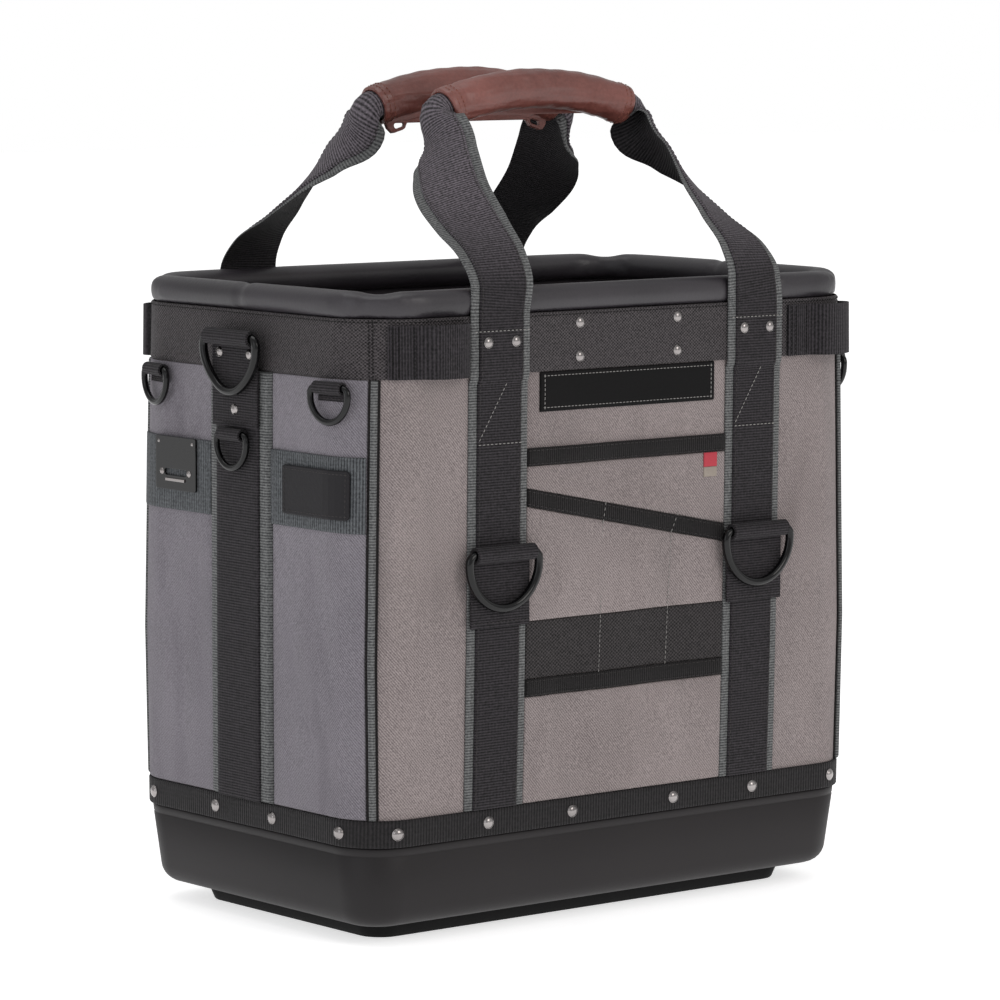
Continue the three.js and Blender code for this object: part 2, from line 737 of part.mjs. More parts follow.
// Handle strap of the front: up one leg, through the grip and down the other leg
function handleStrap() {
  const lead = 1 + (MOUTH_FAR * GRIP_LEAD) / GRIP_LENGTH;
  const mouth = 1 + (MOUTH_NEAR * GRIP_LEAD) / GRIP_LENGTH;
  const inGrip = [-lead, ...steps(-mouth, mouth, GRIP_STEPS), lead].map((t) => ({
    ...gripPoint(t, -GRIP_SPACING / 2),
    across: new THREE.Vector3(0, 1, 0),
    curl: Math.abs(t) === lead ? MOUTH_CURL : 1,
  }));
  const route = [...legStations(-1), ...inGrip, ...legStations(1).toReversed()];
  const rings = route.map(({ place, across, curl }, i) => {
    const before = route[Math.max(i - 1, 0)].place;
    const after = route[Math.min(i + 1, route.length - 1)].place;
    const along = route[i].along || new THREE.Vector3().subVectors(after, before).normalize();
    const wide = across.clone().addScaledVector(along, -across.dot(along)).normalize();
    const out = new THREE.Vector3().crossVectors(along, wide).normalize();
    return curledSection(curl).map(([a, o]) => {
      return place.clone().addScaledVector(wide, a).addScaledVector(out, o);
    });
  });
  const strap = skin(rings, false, fillOf(curledSection(0)));
  const z = RIM_SEAM_Z - STRAP_RIVETS_DROP;
  const rivets = [-1, 1].flatMap((hand) => {
    return STRAP_RIVETS_X.map((x) => {
      const at = (hand * STRAP_SPACING) / 2 + x;
      return rivet(wallFrame(SIDES.front, at, z, STRAP_STAND_OFF + 2 * STRAP_LAYER));
    });
  });
  return join(strap, rivets);
}

// Leather grip of the front: a sleeve round the curled strap with a flap along it, slotted near each end
function gripSleeve(flapAngle) {
  const inner = curlRadius() + 2 * STRAP_LAYER + GAP;
  const outer = inner + GRIP_LEATHER;
  const half = FLAP_THICKNESS / 2;
  const lean = THREE.MathUtils.degToRad(flapAngle);
  const facet = (2 * Math.PI) / GRIP_SIDES;
  const leant = ([d, w]) => [
    d * Math.cos(lean) - w * Math.sin(lean),
    d * Math.sin(lean) + w * Math.cos(lean),
  ];
  const round = (apothem) => {
    const radius = apothem / Math.cos(facet / 2);
    const angles = steps(facet / 2, 2 * Math.PI - facet / 2, GRIP_SIDES - 1);
    return angles.map((angle) => [radius * Math.cos(angle), radius * Math.sin(angle)]);
  };
  const flap = (depth) => [
    [outer, -half],
    [outer + depth, -half],
    [outer + depth, half],
    [outer, half],
  ];
  const framed = (t) => {
    const { place, along } = gripPoint(t, -GRIP_SPACING / 2);
    const across = new THREE.Vector3(0, 1, 0);
    return { place, along, across, out: new THREE.Vector3().crossVectors(along, across) };
  };
  const sweep = (stations, outlineAt) => {
    const rings = stations.map((t) => {
      const { place, across, out } = framed(t);
      return outlineAt(t).map(leant).map(([a, o]) => {
        return place.clone().addScaledVector(across, a).addScaledVector(out, o);
      });
    });
    return skin(rings, false, fillOf(outlineAt(0)));
  };
  const inside = steps(-FLAP_REACH, FLAP_REACH, GRIP_STEPS);
  const leather = sweep([-1, ...inside, 1], (t) => {
    return [...round(outer), ...flap(Math.abs(t) === 1 ? FLAP_END_DEPTH : FLAP_DEPTH)];
  });
  const bore = sweep([-BORE_REACH, ...inside, BORE_REACH], () => round(inner));
  const slots = [-1, 1].map((hand) => {
    const { place, along, across, out } = framed(hand * (1 - (2 * FLAP_INSET) / GRIP_LENGTH));
    const [a, o] = leant([outer + FLAP_DEPTH / 2, 0]);
    const slot = new THREE.CapsuleGeometry(FLAP_SLOT_HEIGHT / 2, FLAP_SLOT - FLAP_SLOT_HEIGHT, 1, 6);
    slot.rotateZ(Math.PI / 2);
    slot.scale(1, 1, (3 * FLAP_THICKNESS) / FLAP_SLOT_HEIGHT);
    slot.rotateX(lean);
    place.addScaledVector(across, a).addScaledVector(out, o);
    return slot.applyMatrix4(new THREE.Matrix4().makeBasis(along, across, out).setPosition(place));
  });
  return cut(leather, [bore, ...slots]);
}

// Distance from the carrier to the middle of a ring's bar
function barOffset(ring) {
  return ring.wire / 2 + TUNNEL_CLEARANCE + ring.wall;
}

// Ring of wire in (along, up, out) about the middle of its bar: a straight bar, two legs and a round foot
function wireRing(ring) {
  const half = (ring.width - ring.wire) / 2;
  const arc = steps(0, -Math.PI, RING_ARC_STEPS).map((a) => {
    return new THREE.Vector2(half * Math.cos(a), half * Math.sin(a) - ring.leg);
  });
  const path = [new THREE.Vector2(-half, 0), new THREE.Vector2(half, 0), ...arc];
  const rings = path.map((p, i) => {
    const before = path[(i + path.length - 1) % path.length];
    const after = path[(i + 1) % path.length];
    const inTo = p.clone().sub(before).normalize();
    const outOf = after.clone().sub(p).normalize();
    const bisector = new THREE.Vector2(inTo.y + outOf.y, -inTo.x - outOf.x).normalize();
    const stretch = 1 / Math.max(Math.cos(inTo.angleTo(outOf) / 2), 0.5);
    return steps(0, 2 * Math.PI, WIRE_SIDES).slice(0, -1).map((a) => {
      const wide = (ring.wire / 2) * Math.cos(a) * stretch;
      const thick = (ring.wire / 2) * Math.sin(a);
      return new THREE.Vector3(p.x + bisector.x * wide, p.y + bisector.y * wide, thick);
    });
  });
  return skin(rings, true);
}

// Webbing loop round a ring's bar and the patch it is sewn down by, in (along, up, out) about the bar
function ringLoop(ring, drop) {
  const tunnel = ring.wire / 2 + TUNNEL_CLEARANCE;
  const roll = tunnel + ring.wall;
  const back = -barOffset(ring);
  const neck = back + ring.patch;
  const meet = Math.asin(neck / roll);
  const shape = new THREE.Shape();
  shape.moveTo(back, -drop);
  shape.lineTo(neck, -drop);
  shape.lineTo(neck, -roll * Math.cos(meet));
  shape.absarc(0, 0, roll, meet - Math.PI / 2, Math.PI / 2, false);
  shape.lineTo(back, roll);
  shape.closePath();
  const hole = new THREE.Path();
  hole.absarc(0, 0, tunnel, 0, 2 * Math.PI, true);
  shape.holes.push(hole);
  const loop = new THREE.ExtrudeGeometry(shape, {
    depth: ring.loop,
    bevelEnabled: false,
    curveSegments: 5,
  });
  loop.translate(0, 0, -ring.loop / 2);
  loop.rotateY(-Math.PI / 2);
  return loop;
}

// Frame of a ring's bar on a wall, off what carries its patch at the height where that stands out most
function barFrame(side, s, z, carrier, ring, drop) {
  const frame = wallFrame(side, s, z, 0);
  const reach = bendHeights(z - drop, z + barOffset(ring)).map((height) => {
    return wallPoint(side, s, height, 0).dot(frame.out);
  });
  const lift = Math.max(...reach) - frame.place.dot(frame.out);
  frame.place.addScaledVector(frame.out, lift + carrier + GAP + barOffset(ring));
  return frame;
}

// Column up an end: a raised pad with narrower webbing on it
function endColumn(side) {
  const half = COLUMN_WIDTH / 2;
  const web = COLUMN_WEB_WIDTH / 2;
  const low = TAPE_TOP_Z + GAP;
  const high = BAND_FOOT_Z - GAP;
  const pad = slab(side, -half, half, low, high, GAP, GAP + COLUMN_RAISE);
  const raised = slab(side, -web, web, low, high, COLUMN_RAISE, GAP + COLUMN_RAISE + COLUMN_WEB);
  return join(pad, [raised]);
}

// Panel between the column and the corner of an end, swelling to a piping up its outer edge; hand is -1 or 1
function endPanel(side, hand) {
  const half = PIPING_WIDTH / 2;
  const ends = [hand * (COLUMN_WIDTH / 2 + GAP), hand * (PANEL_EDGE_AT + half)].sort(ascending);
  const face = (s) => {
    const across = Math.min(Math.max((Math.abs(s) - PANEL_EDGE_AT) / half, -1), 1);
    const next = Math.max(PIPING_SECTION.findIndex((point) => point.across >= across), 1);
    const [a, b] = [PIPING_SECTION[next - 1], PIPING_SECTION[next]];
    const share = (across - a.across) / (b.across - a.across);
    return GAP + CLOTH + PIPING_RAISE * mix(a.raise, b.raise, share);
  };
  const bends = PIPING_SECTION.map(({ across }) => hand * (PANEL_EDGE_AT + across * half));
  return slab(side, ...ends, TAPE_TOP_Z + GAP, BAND_FOOT_Z - GAP, GAP, face, STRIP_MIDDLE_Z, bends);
}

// Webbing strip across an end panel
function endStrip(side, hand) {
  const ends = [
    hand * (COLUMN_WIDTH / 2 + GAP),
    hand * (PANEL_EDGE_AT - PIPING_WIDTH / 2 - GAP),
  ].sort(ascending);
  const low = STRIP_MIDDLE_Z - STRIP_HEIGHT / 2;
  const inner = 2 * GAP + CLOTH;
  return slab(side, ...ends, low, low + STRIP_HEIGHT, inner, inner + BINDING);
}

// Distance from the body's wall to the face of a webbing strip, with the gap of what lies on it
function onStrip() {
  return 3 * GAP + CLOTH + BINDING;
}

// Plain metal plate with a slot
function metalPlate() {
  const middle = STRIP_MIDDLE_Z + PLATE_RISE;
  const shape = new THREE.Shape();
  shape.moveTo(-PLATE_WIDTH / 2, -PLATE_HEIGHT / 2);
  shape.lineTo(PLATE_WIDTH / 2, -PLATE_HEIGHT / 2);
  shape.lineTo(PLATE_WIDTH / 2, PLATE_HEIGHT / 2);
  shape.lineTo(-PLATE_WIDTH / 2, PLATE_HEIGHT / 2);
  shape.closePath();
  const slot = new THREE.Path();
  slot.absellipse(0, -PLATE_HEIGHT / 6, PLATE_SLOT_WIDTH / 2, PLATE_SLOT_HEIGHT / 2, 0, 2 * Math.PI, true);
  shape.holes.push(slot);
  const plate = new THREE.ExtrudeGeometry(shape, {
    depth: PLATE_THICKNESS,
    bevelEnabled: false,
    curveSegments: 8,
  });
  const face = wallFrame(SIDES.left, -PLATE_AT, middle, onStrip());
  plate.applyMatrix4(frameMatrix(face));
  return plate;
}

// Stitched patch on the strip of the visible end
function endPatch() {
  const low = STRIP_MIDDLE_Z - PATCH_HEIGHT / 2;
  return slab(
    SIDES.left,
    PATCH_AT - PATCH_WIDTH / 2,
    PATCH_AT + PATCH_WIDTH / 2,
    low,
    low + PATCH_HEIGHT,
    onStrip(),
    onStrip() + PATCH_THICKNESS,
  );
}

// How far a faceted corner has dropped back from the face at a distance along it
function cornerDrop(along, out, size) {
  const past = along - (size.hx - size.r);
  const radius = size.r + out;
  const facet = Math.PI / (2 * CORNER_STEPS);
  for (let i = 0; i < CORNER_STEPS; i += 1) {
    const from = radius * Math.sin(i * facet);
    const to = radius * Math.sin((i + 1) * facet);
    if (past > from && past <= to) {
      const share = (past - from) / (to - from);
      return radius - radius * mix(Math.cos(i * facet), Math.cos((i + 1) * facet), share);
    }
  }
  return 0;
}

// Side loop: a webbing strip sewn flat at its left end, round the corner if it starts there, and standing
// off the wall at its right end
function sideLoop(side, start) {
  const base = 2 * GAP + CLOTH;
  const lowest = RIM_SEAM_Z - SIDE_LOOP_DROP - SIDE_LOOP_HEIGHT;
  const size = bodyAt(lowest);
  const end = start + SIDE_LOOP_LENGTH;
  const web = SIDE_LOOP_WEB;
  const bend = SIDE_LOOP_BEND;
  const foot = base - cornerDrop(end, base, size);
  const heel = base - cornerDrop(end - web, base, size);
  const lift = start + SIDE_LOOP_FLAT;
  const stand = base + SIDE_LOOP_STAND;
  const flat = bendStations(SIDES.front, start, lift, size).map((station) => placeOf(station, size));
  const outline = [
    ...flat.map((s) => [s, base + web]),
    [lift + bend.rise * web, stand],
    [end - bend.turn * web, stand],
    [end, stand - bend.turn * web],
    [end, foot],
    [end - web, heel],
    [end - web, stand - bend.turnInside * web],
    [end - bend.turnInside * web, stand - web],
    [lift + bend.riseInside * web, stand - web],
    [lift + web, base],
    ...flat.slice(0, -1).toReversed().map((s) => [s, base]),
  ];
  const shape = new THREE.Shape(outline.map(([s, out]) => {
    return s < 0 ? rectPoint(SIDES.front, s, out, size) : new THREE.Vector2(s, -size.hy - out);
  }));
  const loop = new THREE.ExtrudeGeometry(shape, { depth: SIDE_LOOP_HEIGHT, bevelEnabled: false });
  loop.translate(0, 0, lowest);
  loop.rotateZ(THREE.MathUtils.degToRad(side.turn));
  return loop;
}

// Half width of the field between the straps, and the heights of the pocket edges
const FIELD = STRAP_SPACING / 2 - STRAP_WIDTH / 2 - GAP;
const UPPER_TOP_Z = TAPE_TOP_Z + UPPER_POCKET_TOP;
const UPPER_CLOTH_Z = UPPER_TOP_Z - POCKET_BINDING_HEIGHT;
const MESH_TOP_Z = TAPE_TOP_Z + MESH_TOP;
const MESH_FOOT_Z = MESH_TOP_Z - MESH_HEIGHT;
const LOWER_CLOTH_Z = MESH_FOOT_Z - POCKET_BINDING_HEIGHT;

// Top edge of the slanted pocket at a place along the front
function slantEdge(s) {
  const share = (s + FIELD) / (2 * FIELD);
  return TAPE_TOP_Z + mix(SLANT_POCKET_LEFT, SLANT_POCKET_RIGHT, share);
}

// A piece of the front's field, full width between the straps
function fieldSlab(low, high, thickness) {
  return slab(SIDES.front, -FIELD, FIELD, low, high, GAP, GAP + thickness);
}

// Every named piece goes into one group
const tote = new THREE.Group();

function add(name, geometry, material) {
  const mesh = new THREE.Mesh(geometry, material);
  mesh.name = name;
  tote.add(mesh);
  return mesh;
}

// A ring and its loop on a wall
function addRing(name, side, s, z, carrier, ring, drop, loopMaterial, rivets = []) {
  const frame = barFrame(side, s, z, carrier, ring, drop);
  const matrix = frameMatrix(frame);
  const face = ring.patch - barOffset(ring);
  const loop = ringLoop(ring, drop);
  loop.applyMatrix4(matrix);
  const studs = rivets.map(({ across, drop: below }) => {
    const place = frame.place.clone();
    place.addScaledVector(frame.along, across);
    place.addScaledVector(frame.out, face);
    place.z -= below;
    return rivet({ ...frame, place }, SMALL_RIVET_DIAMETER);
  });
  add(name + "_loop", studs.length ? join(loop, studs) : loop, loopMaterial);
  add(name + "_ring", wireRing(ring).applyMatrix4(matrix), MATERIALS.black_metal);
}

add("skid_pad", skidPad(), MATERIALS.skid_rubber);
add("base_tub", baseTub(), MATERIALS.tub_plastic);
add("body_shell", bodyShell(), MATERIALS.front_cloth);
add(
  "upper_band",
  join(outerBand(BAND_FOOT_Z, RIM_SEAM_Z, CLOTH), bandRivets()),
  MATERIALS.ballistic,
);
add(
  "base_tape",
  join(outerBand(CLOTH_FOOT_Z, TAPE_TOP_Z, TAPE_THICKNESS), tapeRivets()),
  MATERIALS.webbing,
);
add("rim_roll", rimRoll(), MATERIALS.lining);

// Handles: the back one is the front one turned half round, but for the lean of its flap
const HANDLES = [
  { name: "front", side: SIDES.front, flap: -25 },
  { name: "back", side: SIDES.back, flap: -80 },
];
for (const { name, side, flap } of HANDLES) {
  const turn = THREE.MathUtils.degToRad(side.turn);
  const strap = add("handle_strap_" + name, handleStrap(), MATERIALS.webbing);
  const grip = add("grip_" + name, gripSleeve(flap), MATERIALS.leather);
  strap.rotation.z = turn;
  grip.rotation.z = turn;
}

// Rings on the handle straps
const onStrap = GAP + 2 * STRAP_LAYER;
for (const { name, side } of HANDLES) {
  for (const [hand, word] of [[-1, "left"], [1, "right"]]) {
    const s = (hand * STRAP_SPACING) / 2;
    addRing("strap_" + name + "_" + word, side, s, STRAP_RING_Z, onStrap, LARGE_RING,
      STRAP_PATCH_DROP, MATERIALS.webbing);
  }
}

// Both ends: column, panels, strips and rings
const onColumn = GAP + COLUMN_RAISE + COLUMN_WEB;
const onPanel = GAP + CLOTH;
const ENDS = [
  { name: "left", side: SIDES.left, places: { far: -FAR_RING_AT, near: NEAR_RING_AT } },
  { name: "right", side: SIDES.right, places: { far: FAR_RING_AT, near: -NEAR_RING_AT } },
];
for (const { name, side, places } of ENDS) {
  add("end_column_" + name, endColumn(side), MATERIALS.webbing);
  addRing("end_" + name, side, 0, END_RING_Z, onColumn, LARGE_RING,
    END_PATCH_DROP, MATERIALS.webbing, PATCH_RIVETS);
  addRing("tag_" + name, side, 0, TAG_RING_Z, onColumn, SMALL_RING,
    TAG_PATCH_DROP, MATERIALS.webbing);
  for (const [word, s] of Object.entries(places)) {
    const hand = Math.sign(s);
    add("end_panel_" + name + "_" + word, endPanel(side, hand), MATERIALS.end_cloth);
    add("end_strip_" + name + "_" + word, endStrip(side, hand), MATERIALS.grey_webbing);
    addRing("side_" + name + "_" + word, side, s, SIDE_RING_Z, onPanel, SMALL_RING,
      SIDE_PATCH_DROP, MATERIALS.webbing);
  }
}
add("metal_plate", metalPlate(), MATERIALS.black_metal);
add("end_patch", endPatch(), MATERIALS.skid_rubber);

// Side loops on the front and the back
for (const { name, side } of HANDLES) {
  add("side_loop_" + name + "_left", sideLoop(side, SIDE_LOOP_LEFT_AT), MATERIALS.webbing);
  add("side_loop_" + name + "_right", sideLoop(side, SIDE_LOOP_RIGHT_AT), MATERIALS.webbing);
}

// Front field: pockets from the top down, then the label and the tab
add(
  "upper_pocket_binding",
  fieldSlab(UPPER_CLOTH_Z + GAP, UPPER_TOP_Z, POCKET_BINDING),
  MATERIALS.ballistic,
);
add("upper_pocket", fieldSlab(slantEdge, UPPER_CLOTH_Z, CLOTH), MATERIALS.front_cloth);
add(
  "slant_pocket_binding",
  fieldSlab((s) => slantEdge(s) - POCKET_BINDING_HEIGHT, (s) => slantEdge(s) - GAP, POCKET_BINDING),
  MATERIALS.ballistic,
);
add(
  "slant_pocket",
  fieldSlab(MESH_TOP_Z + GAP, (s) => slantEdge(s) - POCKET_BINDING_HEIGHT - GAP, CLOTH),
  MATERIALS.front_cloth,
);
add("mesh_panel", fieldSlab(MESH_FOOT_Z + GAP, MESH_TOP_Z, CLOTH), MATERIALS.ballistic);
add("lower_pocket_binding", fieldSlab(LOWER_CLOTH_Z + GAP, MESH_FOOT_Z, POCKET_BINDING), MATERIALS.ballistic);
add("lower_pocket", fieldSlab(TAPE_TOP_Z + GAP, LOWER_CLOTH_Z, CLOTH), MATERIALS.front_cloth);
add(
  "label_patch",
  slab(SIDES.front, -LABEL_WIDTH / 2, LABEL_WIDTH / 2, BAND_FOOT_Z - GAP - LABEL_HEIGHT,
    BAND_FOOT_Z - GAP, GAP, GAP + LABEL_THICKNESS),
  MATERIALS.skid_rubber,
);
add(
  "pocket_tab",
  slab(SIDES.front, TAB_AT - TAB_WIDTH / 2, TAB_AT + TAB_WIDTH / 2,
    UPPER_CLOTH_Z - TAB_HEIGHT, UPPER_CLOTH_Z, onPanel + GAP, onPanel + GAP + TAB_THICKNESS),
  MATERIALS.tab_red,
);

export default tote;
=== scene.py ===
# %% [markdown]
# # Open top tool tote
# A boxy cloth bag on a moulded tub, with two webbing handles in leather grips.
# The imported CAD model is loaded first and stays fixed. Every piece made here lies on it,
# rides on one of its bodies and, where it shows a node's shape better, stands for that node.

# %% Load the frame
import json
import math

import bmesh
import bpy
import numpy as np
from mathutils import Matrix, Vector


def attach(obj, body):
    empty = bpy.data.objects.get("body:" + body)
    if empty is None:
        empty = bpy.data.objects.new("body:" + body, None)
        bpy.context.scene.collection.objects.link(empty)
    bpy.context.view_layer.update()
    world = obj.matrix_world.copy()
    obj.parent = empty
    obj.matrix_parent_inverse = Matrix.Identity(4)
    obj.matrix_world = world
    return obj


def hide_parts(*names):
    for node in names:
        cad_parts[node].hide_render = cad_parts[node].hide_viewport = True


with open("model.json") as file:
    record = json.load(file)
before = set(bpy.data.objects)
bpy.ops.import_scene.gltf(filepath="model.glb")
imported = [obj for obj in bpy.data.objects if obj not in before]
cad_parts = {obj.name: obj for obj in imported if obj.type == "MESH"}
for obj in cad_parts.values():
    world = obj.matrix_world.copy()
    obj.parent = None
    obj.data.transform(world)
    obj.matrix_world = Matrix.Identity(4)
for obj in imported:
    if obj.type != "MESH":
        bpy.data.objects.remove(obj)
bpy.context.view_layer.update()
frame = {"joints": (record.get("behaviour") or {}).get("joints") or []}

# %% [markdown]
# The camera comes first, because every later choice is judged through it. Its place was fitted to
# the bag's straight edges and known webbing widths: a long lens a few metres away, a little above
# the rim, turned 39 degrees towards the left end.

# %% Camera
FOCAL = 4833.62
AZIMUTH, ELEVATION, ROLL = math.radians(-39.314), math.radians(6.2087), math.radians(0.149)
CENTRE = Vector((497.47, 552.83))
REACH = 3.42950

back = Vector((
    math.sin(AZIMUTH) * math.cos(ELEVATION),
    -math.cos(AZIMUTH) * math.cos(ELEVATION),
    math.sin(ELEVATION),
))
level = (-back).cross(Vector((0, 0, 1))).normalized()
rise = level.cross(-back)
right = math.cos(ROLL) * level + math.sin(ROLL) * rise
up = -math.sin(ROLL) * level + math.cos(ROLL) * rise
place = Vector((0, 0, 0.24)) + back * REACH
place -= right * (CENTRE.x - 500) / FOCAL * REACH + up * (500 - CENTRE.y) / FOCAL * REACH
camera = bpy.data.objects.new("camera", bpy.data.cameras.new("camera"))
bpy.context.scene.collection.objects.link(camera)
camera.data.sensor_fit = "HORIZONTAL"
camera.data.sensor_width = 36
camera.data.lens = FOCAL / 1000 * 36
camera.data.clip_end = 60
camera.matrix_world = Matrix((right, up, back)).transposed().to_4x4()
camera.matrix_world.translation = place
bpy.context.scene.camera = camera
print("camera at", [round(v, 3) for v in place])

# %% [markdown]
# A white studio: a pale floor that runs out to white, one large soft light from the front and
# right, a cooler one from the left for the end face, and one above for the rim's highlight.

# %% Studio
scene = bpy.context.scene
scene.view_settings.view_transform = "Standard"
world = bpy.data.worlds.new("studio")
scene.world = world
world.use_nodes = True
sky = world.node_tree.nodes["Background"]
sky.inputs["Strength"].default_value = 0.55
seen = world.node_tree.nodes.new("ShaderNodeBackground")
seen.inputs["Strength"].default_value = 1.0
for lit in (sky, seen):
    lit.inputs["Color"].default_value = (1.0, 1.0, 1.0, 1.0)
rays = world.node_tree.nodes.new("ShaderNodeLightPath")
choose = world.node_tree.nodes.new("ShaderNodeMixShader")
world.node_tree.links.new(rays.outputs["Is Camera Ray"], choose.inputs[0])
world.node_tree.links.new(sky.outputs[0], choose.inputs[1])
world.node_tree.links.new(seen.outputs[0], choose.inputs[2])
world.node_tree.links.new(choose.outputs[0], world.node_tree.nodes["World Output"].inputs["Surface"])


def soft_light(name, size, energy, colour, where, target=(0, 0, 0.25)):
    """A square area light at a place, pointed at the bag."""
    lamp = bpy.data.lights.new(name, "AREA")
    lamp.size = size
    lamp.energy = energy
    lamp.color = colour
    obj = bpy.data.objects.new(name, lamp)
    scene.collection.objects.link(obj)
    obj.location = where
    obj.rotation_euler = (Vector(target) - Vector(where)).to_track_quat("-Z", "Y").to_euler()


soft_light("key", 1.6, 23, (1.0, 0.96, 0.93), (0.5, -3.0, 1.9))
soft_light("fill", 1.8, 9, (0.93, 0.96, 1.0), (-2.8, -0.6, 1.2))
soft_light("top", 1.6, 11, (1.0, 1.0, 1.0), (-0.3, 0.4, 2.6))
floor_mesh = bpy.data.meshes.new("floor")
floor_mesh.from_pydata([(-12, -12, 0), (12, -12, 0), (12, 12, 0), (-12, 12, 0)], [], [(0, 1, 2, 3)])
floor = bpy.data.objects.new("floor", floor_mesh)
scene.collection.objects.link(floor)

# %% [markdown]
# Finishes are node trees. Written node by node they are long, so one small class wraps a socket
# and overloads the arithmetic: an expression such as 1 - rib * 0.4 adds its own Math nodes.
# The same class serves the Geometry Nodes trees further down.

# %% Node trees as expressions
class Socket:
    """An output socket that arithmetic can be done with."""

    def __init__(self, graph, socket):
        self.graph, self.socket = graph, socket

    def maths(self, operation, *values):
        inputs = dict(enumerate(values))
        return self.graph.node("ShaderNodeMath", {"operation": operation}, inputs)

    def __add__(self, other):
        return self.maths("ADD", self, other)

    def __sub__(self, other):
        return self.maths("SUBTRACT", self, other)

    def __rsub__(self, other):
        return self.maths("SUBTRACT", other, self)

    def __mul__(self, other):
        return self.maths("MULTIPLY", self, other)

    __radd__ = __add__
    __rmul__ = __mul__

    def sine(self):
        return self.maths("SINE", self)

    def most(self, other):
        return self.maths("MAXIMUM", self, other)

    def least(self, other):
        return self.maths("MINIMUM", self, other)

    def share(self):
        """The same value kept between 0 and 1."""
        return self.most(0.0).least(1.0)


class Graph:
    """A node tree that takes a node's type, its settings and the values or links of its sockets."""

    def __init__(self, tree):
        self.tree = tree

    def feed(self, socket, value):
        if isinstance(value, Socket):
            self.tree.links.new(value.socket, socket)
        elif socket.type == "RGBA" and len(value) == 3:
            socket.default_value = (*value, 1.0)
        else:
            socket.default_value = value

    def node(self, kind, settings=None, inputs=None, output=0):
        made = self.tree.nodes.new(kind)
        for name, value in (settings or {}).items():
            setattr(made, name, value)
        for name, value in (inputs or {}).items():
            self.feed(made.inputs[name], value)
        return Socket(self, made.outputs[output])


def tone(red, green, blue):
    """A colour as it looks on screen, 0 to 255, turned into the linear values that shaders use."""
    shares = [v / 255 for v in (red, green, blue)]
    return tuple(s / 12.92 if s <= 0.04045 else ((s + 0.055) / 1.055) ** 2.4 for s in shares)


class Finish(Graph):
    """A material whose colour, roughness and relief are built from expressions."""

    def __init__(self, name, **uniform):
        self.material = bpy.data.materials.new(name)
        self.material.use_nodes = True
        super().__init__(self.material.node_tree)
        self.shader = self.tree.nodes["Principled BSDF"]
        for socket, value in uniform.items():
            self.feed(self.shader.inputs[socket.replace("_", " ")], value)

    def map(self):
        """Metres along and up the cloth, from the piece's own UV map."""
        vector = self.node("ShaderNodeUVMap", {"uv_map": "cloth"})
        split = self.node("ShaderNodeSeparateXYZ", inputs={"Vector": vector})
        return split, Socket(self, split.socket.node.outputs[1])

    def space(self):
        """Metres in the row frame."""
        return self.node("ShaderNodeTexCoord", output=3)

    def creases(self, depth, stretch=(17.0, 17.0, 6.0)):
        """Shallow folds, longest where the stretch is least, as sewn cloth and worn leather have."""
        squeezed = self.node("ShaderNodeMapping", inputs={"Vector": self.space(), "Scale": stretch})
        return self.relief(self.noise(squeezed, 1.0, 2.0, 0.45), depth)

    def noise(self, vector, scale, detail=2.0, roughness=0.5):
        inputs = {"Vector": vector, "Scale": scale, "Detail": detail, "Roughness": roughness}
        return self.node("ShaderNodeTexNoise", inputs=inputs)

    def blend(self, amount, low, high):
        """A colour between two, by an amount from 0 to 1."""
        return self.node("ShaderNodeMix", {"data_type": "RGBA"}, {0: amount, 6: low, 7: high}, 2)

    def relief(self, height, depth, under=None):
        """Bump of a height from 0 to 1, that deep in metres, on top of another one if it is given."""
        inputs = {"Height": height, "Distance": depth, "Strength": 1.0}
        if under is not None:
            inputs["Normal"] = under
        return self.node("ShaderNodeBump", inputs=inputs)

    def height(self):
        """Metres above the floor."""
        split = self.node("ShaderNodeSeparateXYZ", inputs={"Vector": self.space()})
        return Socket(self, split.socket.node.outputs[2])

    def wear(self, **varying):
        for socket, value in varying.items():
            self.feed(self.shader.inputs[socket.replace("_", " ")], value)
        return self.material


# %% [markdown]
# The bag shows four kinds of woven goods. The body is a twill whose fine diagonal ribs mix two
# greys. The band under the rim and the mesh panel are a coarse dark basket weave. Straps are
# ribbed webbing: a pale grey-green tape underneath and a darker one sewn on top of it. Each
# weave is drawn from metres along and up the cloth, so it keeps its scale on every piece.

# %% Woven finishes
TURN = 2 * math.pi
# Painted light makes webbing paler above this height, in metres.
PAINTED_LIGHT_ABOVE = 0.44


def twill(name, dark, light, pitch=0.0021):
    """Twill: diagonal ribs broken by the crossing yarn, with a soft mottling of the colour."""
    cloth = Finish(name, Roughness=0.86, Specular_IOR_Level=0.2, Sheen_Weight=0.06)
    u, v = cloth.map()
    wander = cloth.noise(cloth.space(), 9.0, 3.0)
    rib = ((u + v * 0.9) * (TURN / pitch)).sine() * 0.5 + 0.5
    yarn = ((u - v * 1.3) * (TURN / (pitch * 0.62))).sine() * 0.5 + 0.5
    fleck = cloth.noise(cloth.space(), 900.0, 1.0)
    height = rib * 0.62 + yarn * 0.38
    shade = height * 0.95 + (fleck - 0.5) * 1.3 + (wander - 0.5) * 0.6 + 0.02
    return cloth.wear(
        Base_Color=cloth.blend(shade.share(), dark, light),
        Normal=cloth.relief(height, 0.0003, cloth.creases(0.034)),
    )


def basket(name, dark, light, pitch=0.0027):
    """Basket weave: pairs of yarns that pass over and under in a checker."""
    cloth = Finish(name, Roughness=0.72, Specular_IOR_Level=0.22, Sheen_Weight=0.04)
    u, v = cloth.map()
    across = (u * (TURN / pitch)).sine()
    upward = (v * (TURN / (pitch * 0.82))).sine()
    checker = across * upward * 0.5 + 0.5
    fleck = cloth.noise(cloth.space(), 700.0, 2.0)
    shade = checker + (fleck - 0.5) * 1.5
    return cloth.wear(
        Base_Color=cloth.blend(shade.share(), dark, light),
        Normal=cloth.relief(checker, 0.0006),
    )


